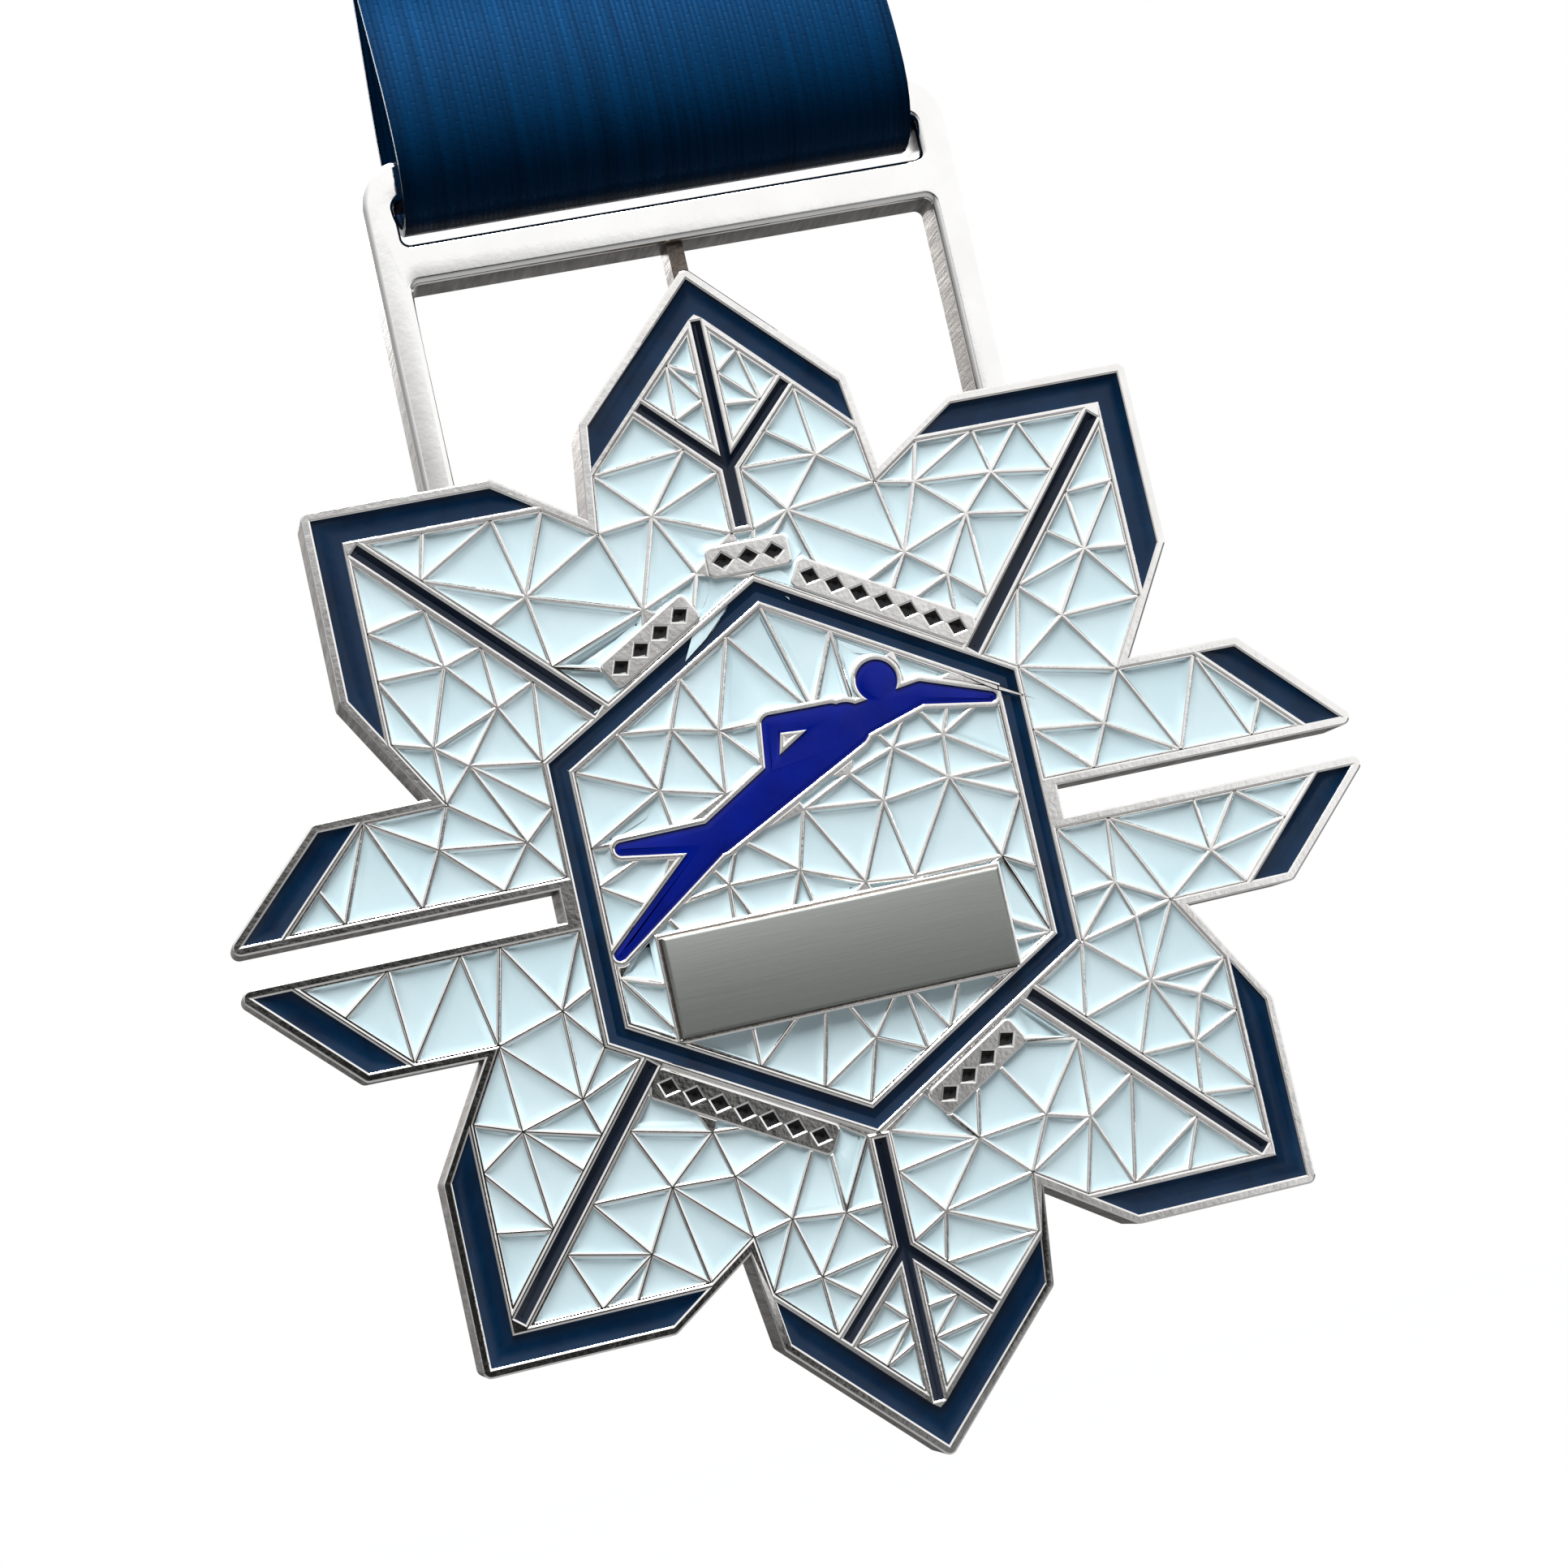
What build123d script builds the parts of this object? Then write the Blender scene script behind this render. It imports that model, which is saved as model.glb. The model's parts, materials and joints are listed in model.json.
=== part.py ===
from build123d import *

import math
import os
import random

# A snowflake medal: a nickel-plated casting with soft enamel, soldered into a flat hanger
# frame and carried by a neck ribbon. All sizes are millimetres. The medal stands upright:
# X to the viewer's right, Z up, its face towards -Y. The origin is the point at the top of
# the folded ribbon by which the whole medal is held.

# ------------------------------------------------------------------ driving dimensions
# the casting
STAR_RADIUS = 43.7  # centre to the tip of every arm
AXIAL_HALF_WIDTH = 10.0  # half the width of the top and bottom arms at their shoulders
SIDE_HALF_WIDTH = 9.2  # the same on the left and right arms
DIAGONAL_HALF_WIDTH = 9.7  # the same on the four diagonal arms
AXIAL_NOTCH = (10.9, 26.7)  # inner corner between the top arm and a diagonal arm
SIDE_NOTCH = (26.2, 9.3)  # inner corner between a diagonal arm and a side arm
OUTLINE_ROUNDING = 0.6  # radius of the outline's outward corners
PLATE_THICKNESS = 4.5
RIM_WIDTH = 0.65  # bare metal round the outline
RIDGE_WIDTH = 0.35  # metal between a dark band and the pale field
CELL_RIDGE = 0.32  # metal line between two pale cells
POCKET_DEPTH = 0.8  # enamel pockets in the face
CELL_RIDGE_DROP = 0.05  # the thin lines between pale cells stand this far below the rim
ENAMEL_DROP = 0.16  # enamel stops this far below the face
SLOT_HEIGHT = 2.4  # open slot that splits each side arm
SLOT_INNER_X = 18.6  # inner end of the slots
BACK_RIM = 1.4  # rim round the recessed back
BACK_RECESS = 0.6

# dark bands
CHEVRON_WIDTH = 1.9  # navy band inside each arm tip
HEX_RADIUS = 20.1  # outer corner radius of the navy hexagon
HEX_BAND = 1.3
VEIN_WIDTH = 0.9
STEM_WIDTH = 0.75
STEM_GAP = 1.1  # between the top row of marks and the upper stem
FORK_HEIGHT = 28.6  # where each stem forks, from the centre
FIGURE_CLEARANCE = 0.36  # between the figure's ends and the hexagon

# rows of small diamond marks outside the hexagon
MARK_PITCH = 1.9
MARK_REACH = 0.72  # half the length of a mark
MARK_RISE = 0.62  # half its height
MARK_STRIP = 2.3  # height of the metal strip that a row of marks lies in
MARK_OFFSET = 1.7  # middle of a row outside the hexagon's edge
TOP_MARK_OFFSET = 1.85  # middle of the top row above the hexagon's corner
MARK_CLEARANCE = 0.6  # from a row's end to the middle of the vein's foot
ROW_MARGIN = 3.8  # least metal between a row and the far corner of its edge
# name, outward direction of the hexagon's edge, first mark's distance from the edge's
# corner on the middle line, most marks
MARK_ROWS = (
    ("upper_left", 120, 4.85, 4),
    ("upper_right", 60, 2.8, 7),
    ("lower_left", -120, 2.8, 7),
    ("lower_right", -60, 4.65, 4),
)
TOP_MARKS = 3

# mosaic of pale cells
CELL_SIZE = 4.7  # usual distance between the junctions of the cells
FORK_CELL_SIZE = 2.9  # the same between the tines of the forks
SMALLEST_INRADIUS = 0.42  # smaller cells stay metal
MOSAIC_SEED = 3  # fixes the stray of the junctions
SMALLEST_REGION = 5.0  # and so do smaller corners of the field, in square millimetres

# blank name plate, bonded to the face
NAME_SIDE_GAP = 3.6  # from its ends to the hexagon, where the figure's foot comes down
NAME_HEIGHT = 7.2
NAME_SHIFT = 0.2  # middle of the plate beside the star's centre line
NAME_CLEARANCE = 0.3  # between its lower corner and the hexagon
NAME_THICKNESS = 1.3
NAME_SEAT = 0.5  # depth of the seat that it is bonded into

# hanger frame
HANGER_THICKNESS = 4.2
LEG_WIDTH = 2.35
TOP_BAR_HEIGHT = 3.0
CROSS_BAR_HEIGHT = 3.0
NECK_HEIGHT = 2.1  # from the star's tip to the cross bar
HANGER_CORNER = 3.4  # outer corner radius
HANGER_EDGE = 0.5  # rounding of the long edges
NECK_WIDTH = 1.2  # web between the star's tip and the cross bar

# ribbon
RIBBON_WIDTH = 38.0
RIBBON_THICKNESS = 0.6
RIBBON_SIDE_CLEARANCE = 0.55  # each side in the hanger's slot
RIBBON_BAR_CLEARANCE = 0.4  # round the turning top bar
SLOT_CLEARANCE = 1.2  # between the ribbon's turn and the cross bar
HANK_START = 18.3  # bottom of the folded ribbon above the top bar's centre
HANK_RUN = 62.0  # length of each fold
HANK_LAYERS = 12
HANK_PITCH = 0.86  # layer to layer
HANK_ENTRY = -HANK_PITCH  # the strands enter the folds this far in front of their middle
BAND_HEIGHT = 6.0  # elastic band round the folds
BAND_THICKNESS = 1.1
STITCH_LENGTH = 2.4
STITCH_WIDTH = 0.45
STITCH_GAP = 1.1

# ------------------------------------------------------------------ derived sizes
HALF_DEPTH = PLATE_THICKNESS / 2
SQ2 = math.sqrt(2)
BAR_RADIUS = math.hypot(TOP_BAR_HEIGHT / 2, HANGER_THICKNESS / 2)
TURN_RADIUS = BAR_RADIUS + RIBBON_BAR_CLEARANCE  # inside of the ribbon's turn
RIBBON_SLOT = TURN_RADIUS + RIBBON_THICKNESS + SLOT_CLEARANCE - TOP_BAR_HEIGHT / 2
CROSS_BAR_BOTTOM = STAR_RADIUS + NECK_HEIGHT  # above the star's centre, as all heights here
CROSS_BAR_TOP = CROSS_BAR_BOTTOM + CROSS_BAR_HEIGHT
TOP_BAR_BOTTOM = CROSS_BAR_TOP + RIBBON_SLOT
BAR_CENTRE = TOP_BAR_BOTTOM + TOP_BAR_HEIGHT / 2
HANGER_TOP = TOP_BAR_BOTTOM + TOP_BAR_HEIGHT
HANGER_INNER = RIBBON_WIDTH / 2 + RIBBON_SIDE_CLEARANCE
HANGER_OUTER = HANGER_INNER + LEG_WIDTH
DIAGONAL_TIP = STAR_RADIUS / SQ2
MITRE = math.cos(math.radians(30))  # from the hexagon's corner radius to its flat
HEX_FLAT = HEX_RADIUS * MITRE  # outer edge of the hexagon's sides from the centre
HEX_ROOM = HEX_FLAT - HEX_BAND  # half the width inside it
TOP_ROW_HEIGHT = HEX_RADIUS + TOP_MARK_OFFSET
TOP_STEM_START = TOP_ROW_HEIGHT + MARK_STRIP / 2 + STEM_GAP
BOTTOM_STEM_START = HEX_RADIUS + RIDGE_WIDTH / MITRE + VEIN_WIDTH / 2 / math.sqrt(3)
NAME_LENGTH = 2 * (HEX_ROOM - NAME_SIDE_GAP)
NAME_CORNER_X = NAME_LENGTH / 2 + abs(NAME_SHIFT)
NAME_LOW = NAME_CORNER_X / math.sqrt(3) - HEX_RADIUS + (HEX_BAND + NAME_CLEARANCE) / MITRE
HANK_BOTTOM = BAR_CENTRE + HANK_START
HANK_TOP = HANK_BOTTOM + HANK_RUN
HANK_DEPTH = HANK_LAYERS * HANK_PITCH
DROP = HANK_TOP  # the star's centre hangs this far below the origin


# ------------------------------------------------------------------ flat geometry helpers
def front(height):
    """Drawing plane parallel to the face, this far towards the viewer from mid-thickness."""
    return Plane.XZ.offset(height)


def polygon(points):
    """Flat face through the given (x, z) corners."""
    return make_face(Polyline(*points, close=True))


def prism(flat, low, high):
    """Solid between two distances in front of mid-thickness."""
    return extrude(front(low) * flat, high - low)


def meet(p, u, q, v):
    """Point where the line from p along u crosses the line from q along v."""
    cross = u[0] * v[1] - u[1] * v[0]
    t = ((q[0] - p[0]) * v[1] - (q[1] - p[1]) * v[0]) / cross
    return (p[0] + t * u[0], p[1] + t * u[1])


def bar(start, end, width):
    """Straight strip of one width between two points."""
    (x0, z0), (x1, z1) = start, end
    length = math.hypot(x1 - x0, z1 - z0)
    nx, nz = (z1 - z0) / length * width / 2, -(x1 - x0) / length * width / 2
    corners = [(x0 + nx, z0 + nz), (x1 + nx, z1 + nz), (x1 - nx, z1 - nz), (x0 - nx, z0 - nz)]
    return polygon(corners)


def limb(start, start_radius, end, end_radius, grow=0.0):
    """Tapered round-ended strip, as a limb of the figure."""
    discs = Pos(*start) * Circle(start_radius + grow) + Pos(*end) * Circle(end_radius + grow)
    return make_hull(discs.edges())


def hexagon(radius):
    """Pointy-top hexagon about the star's centre."""
    turns = [math.radians(90 + 60 * k) for k in range(6)]
    return polygon([(radius * math.cos(a), radius * math.sin(a)) for a in turns])


def mirrored(points, sx, sz):
    """The same points in another quadrant."""
    return [(sx * x, sz * z) for x, z in points]


# ------------------------------------------------------------------ outline and bands
def quadrant_outline():
    """Corners of the star's outline from the top tip to the slot of the right arm."""
    shoulder = DIAGONAL_TIP - DIAGONAL_HALF_WIDTH * SQ2
    tip_x = STAR_RADIUS - SLOT_HEIGHT / 2
    return [
        (AXIAL_HALF_WIDTH, STAR_RADIUS - AXIAL_HALF_WIDTH),
        AXIAL_NOTCH,
        (shoulder, DIAGONAL_TIP),
        (DIAGONAL_TIP, DIAGONAL_TIP),
        (DIAGONAL_TIP, shoulder),
        SIDE_NOTCH,
        (STAR_RADIUS - SIDE_HALF_WIDTH, SIDE_HALF_WIDTH),
        (tip_x, SLOT_HEIGHT / 2),
        (SLOT_INNER_X, SLOT_HEIGHT / 2),
    ]


def star_outline(inset=0.0):
    """The whole outline, drawn in by inset: eight arms, the side ones split by their slots."""
    quarter = quadrant_outline()
    points = [(0, STAR_RADIUS)] + quarter
    points += mirrored(quarter, 1, -1)[::-1] + [(0, -STAR_RADIUS)]
    points += mirrored(quarter, -1, -1) + mirrored(quarter, -1, 1)[::-1]
    sides = []
    for (x0, z0), (x1, z1) in zip(points, points[1:] + points[:1]):
        length = math.hypot(x1 - x0, z1 - z0)
        run = ((x1 - x0) / length, (z1 - z0) / length)
        sides.append(((x0 + run[1] * inset, z0 - run[0] * inset), run))
    return polygon([meet(*a, *b) for a, b in zip(sides[-1:] + sides[:-1], sides)])


def rounded_outline():
    """The star's outline with its outward corners rounded."""
    outline = star_outline()
    hollow = [AXIAL_NOTCH, SIDE_NOTCH, (SLOT_INNER_X, SLOT_HEIGHT / 2)]
    corners = []
    for corner in outline.vertices():
        spot = (abs(corner.X), abs(corner.Y))
        if min(math.dist(spot, point) for point in hollow) > 0.01:
            corners.append(corner)
    return fillet(corners, OUTLINE_ROUNDING)


def chevron_half(half_width, side_corner, inset, width, middle):
    """Corners of half a chevron on an arm that points along +u, as (u, v) with v >= 0.

    half_width is the arm's, side_corner the notch below its shoulder, inset the distance
    in from the outline, width the band's and middle the v where the half stops.
    """
    shoulder = (STAR_RADIUS - half_width, half_width)
    du, dv = side_corner[0] - shoulder[0], side_corner[1] - shoulder[1]
    length = math.hypot(du, dv)
    side = (shoulder[0] + dv / length * inset, shoulder[1] - (-du) / length * inset)
    outer = STAR_RADIUS - inset * SQ2
    inner = outer - width * SQ2
    slope = (1, -1)
    return [
        (outer - middle, middle),
        meet((outer, 0), slope, side, (du, dv)),
        meet((inner, 0), slope, side, (du, dv)),
        (inner - middle, middle),
    ]


def arm_frame(angle):
    """Turns an arm's (u, v) into (x, z); u points outwards along the angle."""
    c, s = math.cos(math.radians(angle)), math.sin(math.radians(angle))
    return lambda p: (p[0] * c - p[1] * s, p[0] * s + p[1] * c)


def to_arm(point, angle):
    """A point of the outline in the frame of the arm at that angle."""
    c, s = math.cos(math.radians(angle)), math.sin(math.radians(angle))
    return (point[0] * c + point[1] * s, -point[0] * s + point[1] * c)


def chevrons(grow):
    """Every navy band at an arm tip by name, each widened by grow on its inner side."""
    inset, width = RIM_WIDTH, CHEVRON_WIDTH + grow
    middle = SLOT_HEIGHT / 2 + RIM_WIDTH
    bands = {}
    up = (AXIAL_NOTCH[1], AXIAL_NOTCH[0])
    for name, angle in (("top", 90), ("bottom", -90)):
        half = chevron_half(AXIAL_HALF_WIDTH, up, inset, width, 0)
        corners = half + [(u, -v) for u, v in half[1:3]][::-1]
        place = arm_frame(angle)
        bands[name] = polygon([place(p) for p in corners])
    for name, angle, sx, sz in (
        ("upper_right", 45, 1, 1),
        ("upper_left", 135, -1, 1),
        ("lower_left", -135, -1, -1),
        ("lower_right", -45, 1, -1),
    ):
        halves = []
        for notch in (AXIAL_NOTCH, SIDE_NOTCH):
            u, v = to_arm((sx * notch[0], sz * notch[1]), angle)
            half = chevron_half(DIAGONAL_HALF_WIDTH, (u, abs(v)), inset, width, 0)
            halves.append([(a, b * math.copysign(1, v)) for a, b in half])
        corners = halves[0] + halves[1][1:3][::-1]
        place = arm_frame(angle)
        bands[name] = polygon([place(p) for p in corners])
    half = chevron_half(SIDE_HALF_WIDTH, SIDE_NOTCH, inset, width, middle)
    for name, sx, sz in (
        ("right_upper", 1, 1),
        ("right_lower", 1, -1),
        ("left_upper", -1, 1),
        ("left_lower", -1, -1),
    ):
        bands[name] = polygon(mirrored(half, sx, sz))
    return bands


def row_span(name):
    """First mark's distance from its corner and the number of marks that fit on the edge."""
    start, most = next(row[2:] for row in MARK_ROWS if row[0] == name)
    return start, min(most, int((HEX_RADIUS - start - ROW_MARGIN) / MARK_PITCH))


def vein_path(name, grow):
    """Ends of a diagonal vein's middle line in the first quadrant, lengthened by grow.

    It starts where the diagonal leaves the hexagon, or past a row of marks that reaches
    further, and ends in the corner of its navy band.
    """
    start, count = row_span(name)
    past_row = start + count * MARK_PITCH - HEX_RADIUS / 2 + MARK_CLEARANCE
    along = max(HEX_FLAT * math.tan(math.radians(15)), past_row)
    side = (math.cos(math.radians(60)), math.sin(math.radians(60)))
    foot = (HEX_FLAT * side[0] + along * side[1], HEX_FLAT * side[1] - along * side[0])
    corner = DIAGONAL_TIP - RIM_WIDTH - CHEVRON_WIDTH
    turn = math.atan2(corner - foot[1], corner - foot[0])
    run = (math.cos(turn), math.sin(turn))
    lean = math.radians(60) - turn
    half = VEIN_WIDTH / 2
    near = RIDGE_WIDTH / math.cos(lean) + half * abs(math.tan(lean)) - grow
    far = max((RIDGE_WIDTH + half * run[1]) / run[0], (RIDGE_WIDTH + half * run[0]) / run[1]) - grow
    return [
        (foot[0] + near * run[0], foot[1] + near * run[1]),
        (corner - far * run[0], corner - far * run[1]),
    ]


def veins(grow):
    """Every dark vein by name, each widened by grow all round."""
    lines = {}
    for name, sx, sz in (
        ("upper_right", 1, 1),
        ("upper_left", -1, 1),
        ("lower_right", 1, -1),
        ("lower_left", -1, -1),
    ):
        path = mirrored(vein_path(name, grow), sx, sz)
        lines[name] = bar(*path, VEIN_WIDTH + 2 * grow)
    apex = STAR_RADIUS - (RIM_WIDTH + CHEVRON_WIDTH) * SQ2
    reach = (apex - FORK_HEIGHT) / 2 - RIDGE_WIDTH / SQ2 + grow / SQ2
    for name, sz, foot in (("top", 1, TOP_STEM_START), ("bottom", -1, BOTTOM_STEM_START)):
        fork = (0, sz * FORK_HEIGHT)
        stem = bar((0, sz * (foot - grow)), fork, VEIN_WIDTH + 2 * grow)
        middle = bar(fork, (0, sz * (apex - RIDGE_WIDTH * SQ2 + grow)), STEM_WIDTH + 2 * grow)
        shape = stem + middle
        for sx in (1, -1):
            tine = bar(fork, (sx * reach, sz * (FORK_HEIGHT + reach)), STEM_WIDTH + 2 * grow)
            shape = shape + tine
        lines[name] = shape
    return lines


def ring(grow):
    """The dark hexagon, widened by grow on both sides."""
    outer = hexagon(HEX_RADIUS + grow / MITRE)
    return outer - hexagon(HEX_RADIUS - (HEX_BAND + grow) / MITRE)


def regions():
    """The pale field, cut into regions by the dark bands and the metal beside them."""
    field = star_outline(RIM_WIDTH)
    for shape in (*chevrons(RIDGE_WIDTH).values(), *veins(RIDGE_WIDTH).values()):
        field = field - shape
    field = field - ring(RIDGE_WIDTH)
    height = SLOT_HEIGHT + 2 * RIM_WIDTH
    for side in (1, -1):
        field = field - bar((side * HEX_ROOM, 0), (side * SLOT_INNER_X, 0), height)
    return [face for face in field.faces() if face.area > SMALLEST_REGION]


# ------------------------------------------------------------------ figure and marks
def swimmer(grow):
    """Generic swimmer: a disc for the head and round-ended strips for trunk and limbs.

    It is drawn 31.5 long and then fitted into the hexagon.
    """
    fit = (HEX_ROOM - FIGURE_CLEARANCE) / 15.75
    grow = grow / fit
    shoulder, hip = (4.3, 8.5), (-6.6, 2.6)
    elbow, hand = (-1.1, 9.7), (-1.9, 5.6)
    reach, fingers = (10.2, 9.8), (15.3, 8.5)
    heel_up, heel_down = (-13.6, 3.1), (-15.3, -4.2)
    shape = limb(shoulder, 1.75, hip, 1.3, grow)
    for start, r0, end, r1 in (
        (shoulder, 1.3, reach, 0.85),
        (reach, 0.85, fingers, 0.4),
        ((3.4, 9.5), 0.85, elbow, 0.7),
        (elbow, 0.7, hand, 0.45),
        (hip, 1.1, heel_up, 0.5),
        (hip, 1.1, heel_down, 0.45),
    ):
        shape = shape + limb(start, r0, end, r1, grow)
    return scale(shape + Pos(7.2, 11.3) * Circle(1.55 + grow), fit)


def mark_row(name, angle):
    """A row of small diamond marks and the metal strip under it, along one hexagon edge."""
    place = Rot(0, 0, angle - 90)
    height, shift, count = TOP_ROW_HEIGHT, 0.0, TOP_MARKS
    if name != "top":
        height = HEX_FLAT + MARK_OFFSET
        start, count = row_span(name)
        towards = 1 if angle in (60, -120) else -1
        shift = towards * (start + count * MARK_PITCH / 2 - HEX_RADIUS / 2)
    strip = RectangleRounded(count * MARK_PITCH + 0.5, MARK_STRIP, 0.5)
    strip = place * Pos(shift, height) * strip
    shapes = []
    for k in range(count):
        x = shift + (k - (count - 1) / 2) * MARK_PITCH
        sides = [(x - MARK_REACH, height), (x + MARK_REACH, height)]
        ends = [(x, height + MARK_RISE), (x, height - MARK_RISE)]
        shapes.append(place * polygon([sides[0], ends[0], sides[1], ends[1]]))
    return strip, shapes


# ------------------------------------------------------------------ mosaic
def inside(point, corners):
    """Whether a point lies inside a closed outline of corners."""
    x, z = point
    hit = False
    for (x0, z0), (x1, z1) in zip(corners, corners[1:] + corners[:1]):
        if (z0 > z) != (z1 > z) and x < x0 + (z - z0) * (x1 - x0) / (z1 - z0):
            hit = not hit
    return hit


def to_edge(point, corners):
    """Distance from a point to the nearest side of an outline."""
    best = math.inf
    for (x0, z0), (x1, z1) in zip(corners, corners[1:] + corners[:1]):
        dx, dz = x1 - x0, z1 - z0
        share = ((point[0] - x0) * dx + (point[1] - z0) * dz) / (dx * dx + dz * dz)
        share = min(1, max(0, share))
        best = min(best, math.hypot(point[0] - x0 - share * dx, point[1] - z0 - share * dz))
    return best


def circumcircle(a, b, c):
    """Centre and squared radius of the circle through three points."""
    d = 2 * (a[0] * (b[1] - c[1]) + b[0] * (c[1] - a[1]) + c[0] * (a[1] - b[1]))
    if abs(d) < 1e-9:
        return (0, 0), math.inf
    sa, sb, sc = (p[0] ** 2 + p[1] ** 2 for p in (a, b, c))
    x = (sa * (b[1] - c[1]) + sb * (c[1] - a[1]) + sc * (a[1] - b[1])) / d
    z = (sa * (c[0] - b[0]) + sb * (a[0] - c[0]) + sc * (b[0] - a[0])) / d
    return (x, z), (x - a[0]) ** 2 + (z - a[1]) ** 2


def triangulate(points):
    """Delaunay triangles over a short list of points, as index triples."""
    far = 1000.0
    nodes = list(points) + [(-far, -far), (far, -far), (0, far)]
    n = len(points)
    triangles = {(n, n + 1, n + 2): circumcircle(*nodes[n:])}
    for k in range(n):
        x, z = nodes[k]
        bad = [t for t, (c, r) in triangles.items() if (x - c[0]) ** 2 + (z - c[1]) ** 2 < r]
        sides = {}
        for t in bad:
            for side in ((t[0], t[1]), (t[1], t[2]), (t[2], t[0])):
                key = tuple(sorted(side))
                sides[key] = sides.get(key, 0) + 1
            del triangles[t]
        for (i, j), uses in sides.items():
            if uses == 1:
                triangles[(i, j, k)] = circumcircle(nodes[i], nodes[j], nodes[k])
    return [t for t in triangles if max(t) < n]


def junctions(corners, size, rng):
    """Irregular junction points of the metal lines over one region, about size apart."""
    points = []
    for (x0, z0), (x1, z1) in zip(corners, corners[1:] + corners[:1]):
        length = math.hypot(x1 - x0, z1 - z0)
        count = max(1, round(length / size))
        points.append((x0, z0))
        for k in range(1, count):
            share = (k + rng.uniform(-0.28, 0.28)) / count
            points.append((x0 + share * (x1 - x0), z0 + share * (z1 - z0)))
    xs, zs = [p[0] for p in corners], [p[1] for p in corners]
    row, z = 0, min(zs)
    while z < max(zs):
        x = min(xs) + (row % 2) * size / 2
        while x < max(xs):
            stray = 0.32 * size
            spot = (x + rng.uniform(-stray, stray), z + rng.uniform(-stray, stray))
            clear = inside(spot, corners) and to_edge(spot, corners) > 0.42 * size
            apart = all(math.dist(spot, p) > 0.55 * size for p in points)
            if clear and apart:
                points.append(spot)
            x += size
        z += size * 0.87
        row += 1
    return points


def corners_of(flat):
    """Corners of a straight-sided flat face, in order round its outline."""
    edges = flat.outer_wire().order_edges()
    first = edges[0] @ 0
    if min((first - edges[1] @ t).length for t in (0, 1)) < 1e-6:
        first = edges[0] @ 1
    corners = [first]
    for edge in edges[:-1]:
        ends = (edge @ 0, edge @ 1)
        corners.append(max(ends, key=lambda p: (p - corners[-1]).length))
    return [(p.X, p.Y) for p in corners]


def cells(region, blocked, rng):
    """Flat pockets of one region: the triangles, each drawn in by half a ridge."""
    corners = corners_of(region)
    points = junctions(corners, CELL_SIZE if region.area > 100 else FORK_CELL_SIZE, rng)
    triangles = []
    for t in triangulate(points):
        a, b, c = (points[i] for i in t)
        middle = ((a[0] + b[0] + c[0]) / 3, (a[1] + b[1] + c[1]) / 3)
        if not inside(middle, corners):
            continue
        la, lb, lc = math.dist(b, c), math.dist(c, a), math.dist(a, b)
        around = la + lb + lc
        area = abs((b[0] - a[0]) * (c[1] - a[1]) - (c[0] - a[0]) * (b[1] - a[1])) / 2
        inradius = 2 * area / around
        if inradius < SMALLEST_INRADIUS:
            continue
        hub = [(la * a[k] + lb * b[k] + lc * c[k]) / around for k in (0, 1)]
        keep = 1 - CELL_RIDGE / 2 / inradius
        shrunk = [tuple(hub[k] + keep * (p[k] - hub[k]) for k in (0, 1)) for p in (a, b, c)]
        triangles.append(polygon(shrunk))
    flats = []
    for triangle in triangles:
        rest = triangle.face() & region
        pieces = rest.faces() if rest is not None else []
        for piece in pieces:
            remains = Sketch([piece])
            for shape in blocked:
                if piece.bounding_box().overlaps(shape.bounding_box()):
                    remains = remains - shape
            flats += [face for face in remains.faces() if face.area > 0.5]
    return flats


# ------------------------------------------------------------------ the medal's pieces
FACE = HALF_DEPTH
FLOOR = HALF_DEPTH - POCKET_DEPTH
FILL = HALF_DEPTH - ENAMEL_DROP

REGION_NAMES = {
    (0, 1): "crown",
    (-1, 1): "left_upper",
    (-1, -1): "left_lower",
    (1, 1): "right_upper",
    (1, -1): "right_lower",
}


def region_name(region):
    """Name of a region from where it lies on the star."""
    x, z = region.center().X, region.center().Y
    if region.area < 100:
        return ("top" if z > 0 else "bottom") + "_fork_" + ("left" if x < 0 else "right")
    if math.hypot(x, z) < 5:
        return "centre"
    if abs(x) > abs(z):
        return REGION_NAMES[(int(math.copysign(1, x)), int(math.copysign(1, z)))]
    if z > 0:
        return "crown"
    return "foot_left" if x < 0 else "foot_right"


def name_outline(grow):
    """The name plate's rectangle."""
    size = (NAME_LENGTH + 2 * grow, NAME_HEIGHT + 2 * grow)
    return Pos(NAME_SHIFT, NAME_LOW + NAME_HEIGHT / 2) * Rectangle(*size)


def dark_pockets():
    """Pockets of the dark and royal enamel, and the rims that keep the mosaic off them."""
    pockets = {f"enamel_navy_{k}": v.faces() for k, v in chevrons(0).items()}
    pockets |= {f"enamel_vein_{k}": v.faces() for k, v in veins(0).items()}
    pockets["enamel_hexagon_ring"] = ring(0).faces()
    pockets["enamel_swimmer"] = swimmer(0).faces()
    rims = [swimmer(RIDGE_WIDTH), name_outline(RIDGE_WIDTH)]
    for name, angle in [row[:2] for row in MARK_ROWS] + [("top", 90)]:
        strip, shapes = mark_row(name, angle)
        rims.append(strip)
        pockets[f"enamel_marks_{name}"] = [f for shape in shapes for f in shape.faces()]
    return pockets, rims


def mosaic(rims):
    """Every region of the pale field: piece name to its outline and its cells."""
    rng = random.Random(MOSAIC_SEED)
    fields = {}
    for region in regions():
        field = Sketch([region])
        for rim in rims:
            if region.bounding_box().overlaps(rim.bounding_box()):
                field = field - rim
        fields[f"enamel_pale_{region_name(region)}"] = (field, cells(region, rims, rng))
    return fields


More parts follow.
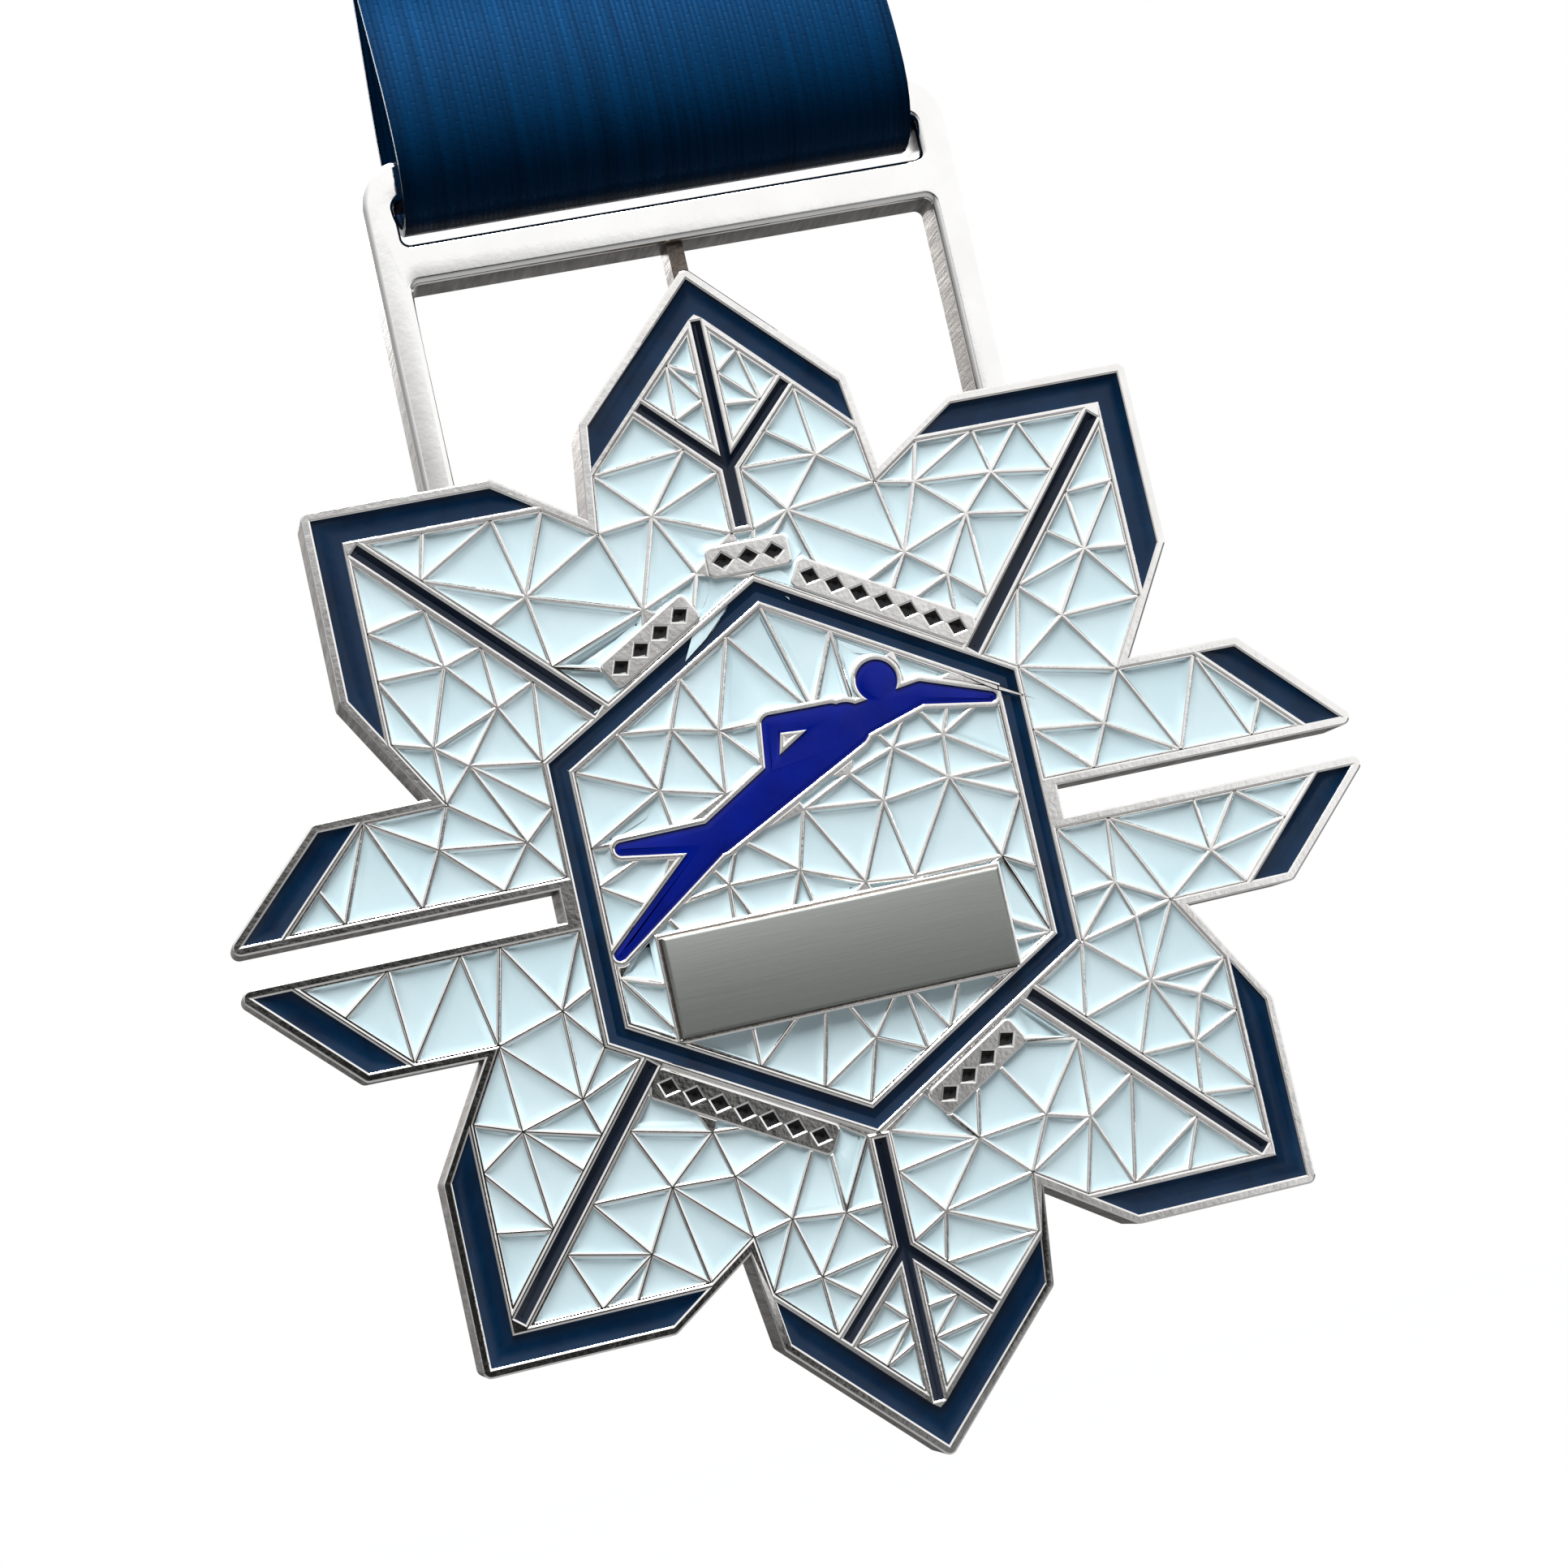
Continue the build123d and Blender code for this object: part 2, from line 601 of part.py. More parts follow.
def snowflake_plate(pockets, fields):
    """The casting: a slab, the rims of its dark pockets, the thin lines of the mosaic between
    them a little lower, and a shallow recess behind.
    """
    outline = rounded_outline()
    slab = prism(outline, -HALF_DEPTH, FLOOR)
    slab = slab - prism(star_outline(BACK_RIM), -HALF_DEPTH, -HALF_DEPTH + BACK_RECESS)
    rims = outline - name_outline(0)
    for field, _ in fields.values():
        rims = rims - field
    rims = rims - Sketch([flat for group in pockets.values() for flat in group])
    raised = [prism(rims, FLOOR, FACE), prism(name_outline(0), FLOOR, FACE - NAME_SEAT)]
    for field, flats in fields.values():
        raised.append(prism(field - Sketch(flats), FLOOR, FACE - CELL_RIDGE_DROP))
    return slab + raised


def hanger_frame():
    """Flat frame with the ribbon's slot, two legs that stand on the upper arms and a web."""
    foot = AXIAL_NOTCH[1]  # the legs are drawn to here and end where they meet the arms
    outer = Pos(0, (foot + HANGER_TOP) / 2) * Rectangle(2 * HANGER_OUTER, HANGER_TOP - foot)
    corners = outer.vertices().sort_by(Axis.Y)[-2:]
    outer = fillet(corners, HANGER_CORNER)
    slot = Rectangle(2 * HANGER_INNER, RIBBON_SLOT)
    slot = fillet(slot.vertices(), 0.6)
    slot = Pos(0, CROSS_BAR_TOP + RIBBON_SLOT / 2) * slot
    gap = CROSS_BAR_BOTTOM - foot
    window = Rectangle(2 * HANGER_INNER, gap)
    window = fillet(window.vertices().sort_by(Axis.Y)[-2:], 0.6)
    window = Pos(0, foot + gap / 2) * window
    half = HANGER_THICKNESS / 2
    body = prism(outer - slot - window, -half, half)
    flats = body.faces().filter_by(Axis.Y)
    rims = [edge for flat in flats for edge in flat.edges() if edge.center().Z > foot + 0.1]
    body = fillet(rims, HANGER_EDGE)
    w = NECK_WIDTH / 2
    corners = [(-w, STAR_RADIUS - w), (w, STAR_RADIUS - w)]
    corners += [(w, CROSS_BAR_BOTTOM + HANGER_EDGE), (-w, CROSS_BAR_BOTTOM + HANGER_EDGE)]
    neck = prism(polygon(corners), -half + HANGER_EDGE, half - 2 * HANGER_EDGE)
    return body + neck - prism(rounded_outline(), -HALF_DEPTH, HALF_DEPTH)


def name_plate():
    """Blank plate bonded into its seat and standing proud of the face."""
    low = FACE - NAME_SEAT
    plate = prism(name_outline(0), low, low + NAME_THICKNESS)
    top = plate.faces().filter_by(Axis.Y).sort_by(Axis.Y)[0]
    return chamfer(top.edges(), 0.15)


# ------------------------------------------------------------------ the ribbon's pieces
def ribbon_loop():
    """The strip's turn round the top bar and its two strands up to the folded part."""
    r = TURN_RADIUS
    t = RIBBON_THICKNESS
    rise = TOP_BAR_HEIGHT + 1.0
    close = HANK_PITCH / 2
    height = HANK_START
    solids = []
    turn = Circle(r + t) - Circle(r)
    turn = turn - Pos(0, r) * Rectangle(4 * r, 2 * r)
    profile = turn
    for side in (1, -1):
        low = [(side * r, 0), (side * (r + t), 0), (side * (r + t), rise), (side * r, rise)]
        lean = [
            (side * r, rise),
            (side * (r + t), rise),
            (HANK_ENTRY + side * (close + t / 2), height),
            (HANK_ENTRY + side * (close - t / 2), height),
        ]
        profile = profile + polygon(low) + polygon(lean)
    side_on = Plane((0, 0, BAR_CENTRE), x_dir=(0, 1, 0), z_dir=(1, 0, 0))
    return extrude(side_on * profile, RIBBON_WIDTH / 2, both=True)


def ribbon_hank():
    """The rest of the strip, folded flat upon itself."""
    middle = (HANK_BOTTOM + HANK_TOP) / 2
    block = Pos(0, 0, middle) * Box(RIBBON_WIDTH, HANK_DEPTH, HANK_RUN)
    ends = block.edges().filter_by(Axis.X).sort_by(Axis.Z)
    block = fillet(ends[-2:], HANK_DEPTH / 2 - 0.05)
    ends = block.edges().filter_by(Axis.X).sort_by(Axis.Z)
    return fillet(ends[:2], HANK_PITCH)


def hank_band():
    """Elastic band round the middle of the folds."""
    middle = (HANK_BOTTOM + HANK_TOP) / 2
    inner = (RIBBON_WIDTH, HANK_DEPTH)
    outer = Rectangle(inner[0] + 2 * BAND_THICKNESS, inner[1] + 2 * BAND_THICKNESS)
    outer = fillet(outer.vertices(), BAND_THICKNESS)
    loop = extrude(Plane.XY.offset(middle - BAND_HEIGHT / 2) * (outer - Rectangle(*inner)), BAND_HEIGHT)
    return loop


def seam_stitches():
    """Two rows of stitches where the strip's ends are sewn together, on the outermost fold."""
    step = STITCH_LENGTH + STITCH_GAP
    count = int((RIBBON_WIDTH - 4.0) // step)
    y = HANK_DEPTH / 2
    stitches = []
    for row in (0, 1):
        z = HANK_BOTTOM + 6.0 + row * 7.0
        for k in range(count):
            x = (k - (count - 1) / 2) * step
            stitch = Box(STITCH_LENGTH, 0.25, STITCH_WIDTH)
            stitches.append(Pos(x, y + 0.125, z) * stitch)
    return Compound(children=stitches)


# ------------------------------------------------------------------ assembly
def save(name, shape):
    """Write one piece, hung at its place below the origin."""
    export_step(Pos(0, 0, -DROP) * shape, f"parts/{name}.step")


def main():
    """Build and write every piece."""
    os.makedirs("parts", exist_ok=True)
    pockets, rims = dark_pockets()
    fields = mosaic(rims)
    fills = pockets | {name: flats for name, (_, flats) in fields.items()}
    for name, flats in fills.items():
        solids = [prism(Sketch([flat]), FLOOR, FILL).solid() for flat in flats]
        save(name, solids[0] if len(solids) == 1 else Compound(children=solids))
    save("snowflake_plate", snowflake_plate(pockets, fields))
    save("name_plate", name_plate())
    save("hanger_frame", hanger_frame())
    save("ribbon_loop", ribbon_loop())
    save("ribbon_hank", ribbon_hank())
    save("hank_band", hank_band())
    save("seam_stitches", seam_stitches())
    print("origin above the star's centre", round(DROP, 2), "top bar", round(BAR_CENTRE, 2))
    print("cells", sum(len(flats) for _, flats in fields.values()))


if __name__ == "__main__":
    main()
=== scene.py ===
"""Looks of a snowflake medal that hangs from its folded neck ribbon.

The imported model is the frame. The plated casting, the enamel fills, the name plate, the
hanger and the ribbon are dressed or rebuilt here as finer pieces in the same places.
"""

import json
import logging
import math
import random
from collections.abc import Callable, Iterable, Sequence
from dataclasses import dataclass, field
from enum import Enum

import bpy
from mathutils import Matrix, Vector


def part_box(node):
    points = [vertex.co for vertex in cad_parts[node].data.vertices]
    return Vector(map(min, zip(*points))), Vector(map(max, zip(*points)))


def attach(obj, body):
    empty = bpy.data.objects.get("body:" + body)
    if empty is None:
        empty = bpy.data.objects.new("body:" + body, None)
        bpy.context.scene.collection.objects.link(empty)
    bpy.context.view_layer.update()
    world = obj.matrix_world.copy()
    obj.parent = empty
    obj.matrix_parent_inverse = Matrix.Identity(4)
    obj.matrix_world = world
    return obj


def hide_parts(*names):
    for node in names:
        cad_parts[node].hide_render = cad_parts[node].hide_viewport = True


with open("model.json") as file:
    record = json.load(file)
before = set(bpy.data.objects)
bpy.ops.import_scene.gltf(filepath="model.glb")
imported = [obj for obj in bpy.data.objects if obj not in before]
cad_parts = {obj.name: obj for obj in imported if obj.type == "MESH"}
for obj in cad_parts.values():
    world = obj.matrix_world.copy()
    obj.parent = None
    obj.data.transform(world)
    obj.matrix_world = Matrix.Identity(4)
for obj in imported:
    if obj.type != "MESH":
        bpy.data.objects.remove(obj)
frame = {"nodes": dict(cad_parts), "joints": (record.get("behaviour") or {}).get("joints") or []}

log = logging.getLogger("medal")

MM = 0.001
SHADE_ATTRIBUTE = "cell_shade"  # one random value to each enamel cell
MERGE_DISTANCE = 0.0005 * MM  # corners of one CAD mesh that count as one
FLAT_LEVEL = 0.01 * MM  # how far a flat face may lie from its height
FACING = 0.9  # part of a normal along an axis that counts as facing along it

Colour = tuple[float, float, float]
Point = tuple[float, float]
Steps = tuple[tuple[float, float], ...]
FaceTest = Callable[[Vector, Vector], bool]
FacePick = Callable[[Vector, Vector], int]


class Body(Enum):
    """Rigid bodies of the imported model."""

    MEDAL = "medal"
    RIBBON = "ribbon"


class Slot(Enum):
    """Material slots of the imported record."""

    NICKEL = "nickel_plate"
    SATIN_NICKEL = "satin_nickel"
    NAVY = "navy_enamel"
    INK = "ink_enamel"
    BLACK = "black_enamel"
    PALE = "pale_enamel"
    ROYAL = "royal_enamel"
    RIBBON = "satin_ribbon"
    BAND = "elastic_band"
    THREAD = "thread"


# ------------------------------------------------------------------ node graphs
class Graph:
    """Adds and links the nodes of one shader tree or node group."""

    def __init__(self, tree: bpy.types.NodeTree) -> None:
        """Take over a tree.

        Args:
            tree: The tree that the nodes are added to.
        """
        self.tree = tree

    def add(self, kind: str, **settings: object) -> bpy.types.Node:
        """Add a node and set its properties.

        Args:
            kind: Blender's type name of the node.
            **settings: Properties of the node by name.

        Returns:
            The new node.
        """
        node = self.tree.nodes.new(kind)
        for name, value in settings.items():
            setattr(node, name, value)
        return node

    def put(self, source: object, socket: bpy.types.NodeSocket) -> None:
        """Link a socket into another, or set it to a plain value.

        Args:
            source: An output socket, a number or a tuple of numbers.
            socket: The input socket that takes it.
        """
        if isinstance(source, bpy.types.NodeSocket):
            self.tree.links.new(source, socket)
        elif socket.type == "RGBA" and isinstance(source, tuple) and len(source) == 3:
            socket.default_value = (*source, 1.0)
        else:
            socket.default_value = source

    def math(self, operation: str, *values: object, clamp: bool = False) -> bpy.types.NodeSocket:
        """Add a Math node.

        Args:
            operation: The node's operation.
            *values: One to three sockets or numbers.
            clamp: Whether the result is kept between 0 and 1.

        Returns:
            The node's output.
        """
        node = self.add("ShaderNodeMath", operation=operation, use_clamp=clamp)
        for value, socket in zip(values, node.inputs):
            self.put(value, socket)
        return node.outputs[0]

    def mix(self, factor: object, first: object, second: object) -> bpy.types.NodeSocket:
        """Mix two colours.

        Args:
            factor: How much of the second colour shows.
            first: Colour at factor 0.
            second: Colour at factor 1.

        Returns:
            The mixed colour.
        """
        node = self.add("ShaderNodeMix", data_type="RGBA")
        self.put(factor, node.inputs["Factor"])
        self.put(first, node.inputs[6])
        self.put(second, node.inputs[7])
        return node.outputs[2]

    def range(
        self, value: object, low: float, high: float, to_low: float, to_high: float
    ) -> bpy.types.NodeSocket:
        """Map one range of values to another, clamped.

        Args:
            value: The value to map.
            low: Start of the range taken.
            high: End of the range taken.
            to_low: Result at low.
            to_high: Result at high.

        Returns:
            The mapped value.
        """
        node = self.add("ShaderNodeMapRange")
        for item, socket in zip((value, low, high, to_low, to_high), node.inputs):
            self.put(item, socket)
        return node.outputs[0]

    def noise(
        self, vector: object, scale: object, detail: float = 3.0, roughness: float = 0.55
    ) -> bpy.types.NodeSocket:
        """Add a noise texture.

        Args:
            vector: Coordinates in metres.
            scale: Features to the metre.
            detail: Octaves.
            roughness: Weight of the finer octaves.

        Returns:
            The noise as a value about 0.5.
        """
        node = self.add("ShaderNodeTexNoise")
        self.put(vector, node.inputs["Vector"])
        self.put(scale, node.inputs["Scale"])
        self.put(detail, node.inputs["Detail"])
        self.put(roughness, node.inputs["Roughness"])
        return node.outputs[0]

    def stretched(self, vector: object, scale: Sequence[float]) -> bpy.types.NodeSocket:
        """Scale coordinates by a different amount along each axis.

        Args:
            vector: The coordinates.
            scale: Factor along X, Y and Z.

        Returns:
            The scaled coordinates.
        """
        node = self.add("ShaderNodeMapping")
        self.put(vector, node.inputs["Vector"])
        node.inputs["Scale"].default_value = tuple(scale)
        return node.outputs[0]


class Effects:
    """Shader node groups that several finishes share, each made once."""

    _made: dict[str, bpy.types.NodeTree] = {}

    @classmethod
    def _start(
        cls, name: str, inputs: dict[str, tuple[str, object]], outputs: Sequence[str]
    ) -> tuple[Graph, bpy.types.bpy_prop_collection, bpy.types.bpy_prop_collection]:
        """Make an empty group with its sockets.

        Args:
            name: The group's name.
            inputs: Input name to its socket type and default.
            outputs: Names of its outputs, which are all single values.

        Returns:
            The group's graph, its input sockets inside and its output sockets inside.
        """
        tree = bpy.data.node_groups.new(name, "ShaderNodeTree")
        for label, (kind, default) in inputs.items():
            socket = tree.interface.new_socket(label, in_out="INPUT", socket_type=kind)
            if default is not None:
                socket.default_value = default
        for label in outputs:
            tree.interface.new_socket(label, in_out="OUTPUT", socket_type="NodeSocketFloat")
        graph = Graph(tree)
        start = graph.add("NodeGroupInput")
        end = graph.add("NodeGroupOutput")
        cls._made[name] = tree
        return graph, start.outputs, end.inputs

    @classmethod
    def use(cls, graph: Graph, name: str, **values: object) -> bpy.types.Node:
        """Place a group in a material.

        Args:
            graph: The material's graph.
            name: The group's name.
            **values: Inputs by name, as sockets or numbers.

        Returns:
            The group node.
        """
        if name not in cls._made:
            getattr(cls, f"_{name}")()
        node = graph.add("ShaderNodeGroup", node_tree=cls._made[name])
        for label, value in values.items():
            graph.put(value, node.inputs[label])
        return node

    @classmethod
    def _mottle(cls) -> None:
        """Soft clouds and a fine grain: Clouds, Grain and a Height made of both."""
        graph, inside, out = cls._start(
            "mottle",
            {
                "Vector": ("NodeSocketVector", None),
                "Cloud Scale": ("NodeSocketFloat", 250.0),
                "Grain Scale": ("NodeSocketFloat", 3000.0),
            },
            ("Clouds", "Grain", "Height"),
        )
        clouds = graph.noise(inside["Vector"], inside["Cloud Scale"], 3.0)
        clouds = graph.range(clouds, 0.3, 0.7, 0.0, 1.0)
        grain = graph.noise(inside["Vector"], inside["Grain Scale"], 2.0)
        grain = graph.range(grain, 0.3, 0.7, 0.0, 1.0)
        height = graph.math("MULTIPLY_ADD", grain, 0.25, clouds)
        graph.put(clouds, out["Clouds"])
        graph.put(grain, out["Grain"])
        graph.put(height, out["Height"])

    @classmethod
    def _grain(cls) -> None:
        """Fine straight lines along one axis: Lines and a Height."""
        graph, inside, out = cls._start(
            "grain",
            {"Vector": ("NodeSocketVector", None), "Scale": ("NodeSocketFloat", 4000.0)},
            ("Lines", "Height"),
        )
        fine = graph.noise(inside["Vector"], inside["Scale"], 2.0, 0.7)
        wide = graph.noise(inside["Vector"], graph.math("MULTIPLY", inside["Scale"], 0.3), 2.0)
        lines = graph.math("MULTIPLY_ADD", wide, 0.5, graph.math("MULTIPLY", fine, 0.5))
        lines = graph.range(lines, 0.35, 0.65, 0.0, 1.0)
        graph.put(lines, out["Lines"])
        graph.put(lines, out["Height"])

    @classmethod
    def _satin_weave(cls) -> None:
        """Long warp threads with the odd crossing: Crossings and a Height."""
        graph, inside, out = cls._start(
            "satin_weave",
            {
                "Vector": ("NodeSocketVector", None),
                "Across": ("NodeSocketFloat", 0.4 * MM),
                "Along": ("NodeSocketFloat", 1.6 * MM),
            },
            ("Crossings", "Height"),
        )
        parts = graph.add("ShaderNodeSeparateXYZ")
        graph.put(inside["Vector"], parts.inputs[0])
        across = graph.math("DIVIDE", parts.outputs["X"], inside["Across"])
        along = graph.math("DIVIDE", parts.outputs["Y"], inside["Along"])
        column = graph.math("FLOOR", across)
        inner = graph.math("FRACT", across)
        rounded = graph.math("SINE", graph.math("MULTIPLY", inner, math.pi))
        step = graph.math("MULTIPLY", column, 0.4)
        place = graph.math("FRACT", graph.math("ADD", along, step))
        from_middle = graph.math("ABSOLUTE", graph.math("SUBTRACT", place, 0.5))
        dip = graph.range(from_middle, 0.0, 0.09, 1.0, 0.0)
        height = graph.math("SUBTRACT", rounded, graph.math("MULTIPLY", dip, 0.35))
        graph.put(dip, out["Crossings"])
        graph.put(height, out["Height"])


# ------------------------------------------------------------------ finishes
@dataclass(frozen=True)
class Finish:
    """Base of every finish: makes one material and keeps it."""

    name: str

    def material(self) -> bpy.types.Material:
        """Return the finish's material, made the first time.

        Returns:
            The material.
        """
        found = bpy.data.materials.get(self.name)
        if found is not None:
            return found
        made = bpy.data.materials.new(self.name)
        made.use_nodes = True
        made.node_tree.nodes.clear()
        graph = Graph(made.node_tree)
        shader = graph.add("ShaderNodeBsdfPrincipled")
        end = graph.add("ShaderNodeOutputMaterial")
        graph.put(shader.outputs[0], end.inputs["Surface"])
        coordinates = graph.add("ShaderNodeTexCoord")
        self.fill(graph, shader, coordinates)
        return made

    def fill(self, graph: Graph, shader: bpy.types.Node, coordinates: bpy.types.Node) -> None:
        """Add the nodes that feed the shader.

        Args:
            graph: The material's graph.
            shader: Its Principled shader.
            coordinates: Its texture coordinates.
        """
        raise NotImplementedError

    @staticmethod
    def bump(
        graph: Graph, shader: bpy.types.Node, height: object, distance: float, strength: float
    ) -> None:
        """Feed a height to the shader's normal.

        Args:
            graph: The material's graph.
            shader: The shader that takes the normal.
            height: Height between 0 and 1.
            distance: What a height of 1 stands for, in metres.
            strength: Strength of the effect.
        """
        node = graph.add("ShaderNodeBump")
        node.inputs["Distance"].default_value = distance
        node.inputs["Strength"].default_value = strength
        graph.put(height, node.inputs["Height"])
        graph.put(node.outputs[0], shader.inputs["Normal"])


@dataclass(frozen=True)
class Plating(Finish):
    """Bright or satin plating on cast metal, with faint tarnish."""

    light: Colour = (0.95, 0.94, 0.925)
    tarnish: Colour = (0.56, 0.51, 0.46)
    tarnish_share: float = 0.22
    roughness: tuple[float, float] = (0.05, 0.13)
    cloud_scale: float = 320.0
    height: float = 0.02 * MM

    def fill(self, graph: Graph, shader: bpy.types.Node, coordinates: bpy.types.Node) -> None:
        """Mottle the colour, the gloss and the surface a little."""
        mottle = Effects.use(
            graph,
            "mottle",
            **{"Vector": coordinates.outputs["Object"], "Cloud Scale": self.cloud_scale},
        )
        clouds = graph.math("MULTIPLY", mottle.outputs["Clouds"], self.tarnish_share)
        graph.put(graph.mix(clouds, self.light, self.tarnish), shader.inputs["Base Color"])
        rough = graph.range(mottle.outputs["Grain"], 0.0, 1.0, *self.roughness)
        graph.put(rough, shader.inputs["Roughness"])
        shader.inputs["Metallic"].default_value = 1.0
        self.bump(graph, shader, mottle.outputs["Height"], self.height, 0.5)


@dataclass(frozen=True)
class GrainedMetal(Finish):
    """Metal with a straight grain, as on a brushed plate, or on a cast side wall whose dark default colours
    are painted shade.
    """

    # Default colours, used by the side walls: the plating painted dark as painted shade.
    light: Colour = (0.20, 0.17, 0.148)
    dark: Colour = (0.065, 0.054, 0.046)
    stretch: tuple[float, float, float] = (1.0, 0.06, 1.0)
    scale: float = 4200.0
    roughness: tuple[float, float] = (0.28, 0.5)
    height: float = 0.02 * MM
    mottled: float = 0.35

    def fill(self, graph: Graph, shader: bpy.types.Node, coordinates: bpy.types.Node) -> None:
        """Lay fine lines along one axis over soft clouds."""
        place = coordinates.outputs["Object"]
        lines = Effects.use(graph, "grain", Vector=graph.stretched(place, self.stretch), Scale=self.scale)
        clouds = Effects.use(graph, "mottle", Vector=place).outputs["Clouds"]
        lined = graph.math("MULTIPLY", lines.outputs["Lines"], 1 - self.mottled)
        share = graph.math("MULTIPLY_ADD", clouds, self.mottled, lined)
        graph.put(graph.mix(share, self.light, self.dark), shader.inputs["Base Color"])
        graph.put(graph.range(share, 0.0, 1.0, *self.roughness), shader.inputs["Roughness"])
        shader.inputs["Metallic"].default_value = 1.0
        self.bump(graph, shader, lines.outputs["Height"], self.height, 0.6)


@dataclass(frozen=True)
class Enamel(Finish):
    """Glossy soft enamel: an even colour with faint clouds and a fired skin."""

    light: Colour = (0.57, 0.70, 0.735)
    deep: Colour = (0.48, 0.63, 0.675)
    roughness: tuple[float, float] = (0.10, 0.2)
    gloss: float = 0.40
    height: float = 0.012 * MM
    cell_shade: float = 0.0

    def fill(self, graph: Graph, shader: bpy.types.Node, coordinates: bpy.types.Node) -> None:
        """Cloud the colour, shade each cell on its own and ripple the skin."""
        mottle = Effects.use(
            graph,
            "mottle",
            **{"Vector": coordinates.outputs["Object"], "Cloud Scale": 380.0, "Grain Scale": 2600.0},
        )
        share = graph.math("MULTIPLY", mottle.outputs["Clouds"], 0.7)
        if self.cell_shade:
            tint = graph.add("ShaderNodeAttribute", attribute_name=SHADE_ATTRIBUTE)
            share = graph.math("MULTIPLY", share, 0.6)
            share = graph.math("MULTIPLY_ADD", tint.outputs["Fac"], self.cell_shade, share)
        graph.put(graph.mix(share, self.light, self.deep), shader.inputs["Base Color"])
        rough = graph.range(mottle.outputs["Grain"], 0.0, 1.0, *self.roughness)
        graph.put(rough, shader.inputs["Roughness"])
        shader.inputs["Specular IOR Level"].default_value = self.gloss
        self.bump(graph, shader, mottle.outputs["Height"], self.height, 0.5)


@dataclass(frozen=True)
class Satin(Finish):
    """Satin ribbon: long warp threads, a selvage at each edge, a silky sheen, and painted shade that
    darkens the turn round the bar.
    """

    light: Colour = (0.001, 0.056, 0.172)
    dark: Colour = (0.0003, 0.017, 0.055)
    width: float = 38.0 * MM
    selvage: float = 0.9 * MM
    # Painted shade: the heights over which the colour darkens towards the turn, and the share of colour
    # left at the bottom.
    painted_shade_span: tuple[float, float] = (-79.0 * MM, -64.0 * MM)
    painted_shade_share: float = 0.28
    crossed: float = 0.12
    streaked: float = 0.75
    sheen: float = 0.08
    sheen_tint: Colour = (0.05, 0.36, 1.0)

    def fill(self, graph: Graph, shader: bpy.types.Node, coordinates: bpy.types.Node) -> None:
        """Weave the threads along the ribbon by its own UV map, in metres."""
        place = coordinates.outputs["UV"]
        weave = Effects.use(graph, "satin_weave", Vector=place)
        streaks = Effects.use(graph, "grain", Vector=graph.stretched(place, (1.0, 0.02, 1.0)), Scale=3600.0)
        parts = graph.add("ShaderNodeSeparateXYZ")
        graph.put(place, parts.inputs[0])
        edge = graph.math("SUBTRACT", self.width / 2, graph.math("ABSOLUTE", parts.outputs["X"]))
        selvage = graph.range(edge, 0.7 * self.selvage, self.selvage, 1.0, 0.0)
        share = graph.math("MULTIPLY", streaks.outputs["Lines"], self.streaked)
        share = graph.math("MULTIPLY_ADD", weave.outputs["Crossings"], self.crossed, share)
        share = graph.math("MULTIPLY_ADD", selvage, 0.35, share, clamp=True)
        # Painted shade: the woven colour is darkened by height towards the turn round the bar.
        painted_shade_height = graph.add("ShaderNodeSeparateXYZ")
        graph.put(coordinates.outputs["Object"], painted_shade_height.inputs[0])
        depth = graph.range(painted_shade_height.outputs["Z"], *self.painted_shade_span, self.painted_shade_share, 1.0)
        woven = graph.mix(share, self.light, self.dark)
        graph.put(graph.mix(depth, (0.0, 0.0, 0.0), woven), shader.inputs["Base Color"])
        graph.put(graph.range(share, 0.0, 1.0, 0.34, 0.52), shader.inputs["Roughness"])
        shader.inputs["Specular IOR Level"].default_value = self.sheen
        shader.inputs["Specular Tint"].default_value = (*self.sheen_tint, 1.0)
        height = graph.math("MULTIPLY_ADD", streaks.outputs["Height"], 0.5, weave.outputs["Height"])
        self.bump(graph, shader, height, 0.05 * MM, 0.55)


@dataclass(frozen=True)
class Corded(Finish):
    """Ribbed elastic or twisted thread: close ridges along one axis."""

    light: Colour = (0.045, 0.047, 0.055)
    dark: Colour = (0.008, 0.008, 0.011)
    stretch: tuple[float, float, float] = (1.0, 1.0, 1.0)
    pitch: float = 0.9 * MM

    def fill(self, graph: Graph, shader: bpy.types.Node, coordinates: bpy.types.Node) -> None:
        """Ridge the surface across the stretched axis and fleck it."""
        place = graph.stretched(coordinates.outputs["Object"], self.stretch)
        parts = graph.add("ShaderNodeSeparateXYZ")
        graph.put(place, parts.inputs[0])
        flat = graph.math("ADD", parts.outputs["X"], parts.outputs["Y"])
        along = graph.math("ADD", parts.outputs["Z"], flat)
        wave = graph.math("SINE", graph.math("MULTIPLY", along, 2 * math.pi / self.pitch))
        ridge = graph.range(wave, -1.0, 1.0, 0.0, 1.0)
        flecks = Effects.use(graph, "mottle", Vector=coordinates.outputs["Object"]).outputs["Grain"]
        share = graph.math("MULTIPLY_ADD", flecks, 0.4, graph.math("MULTIPLY", ridge, 0.6))
        graph.put(graph.mix(share, self.dark, self.light), shader.inputs["Base Color"])
        graph.put(graph.range(flecks, 0.0, 1.0, 0.55, 0.8), shader.inputs["Roughness"])
        self.bump(graph, shader, ridge, 0.08 * MM, 0.7)


BRIGHT = Plating("bright nickel plating")
POLISHED = Plating(
    "polished hanger",
    light=(0.99, 0.985, 0.975),
    tarnish_share=0.10,
    roughness=(0.04, 0.09),
    height=0.008 * MM,
)
# Side walls: cast grain, with the plating painted dark as painted shade.
PAINTED_SHADE_WALL = GrainedMetal("cast side wall")
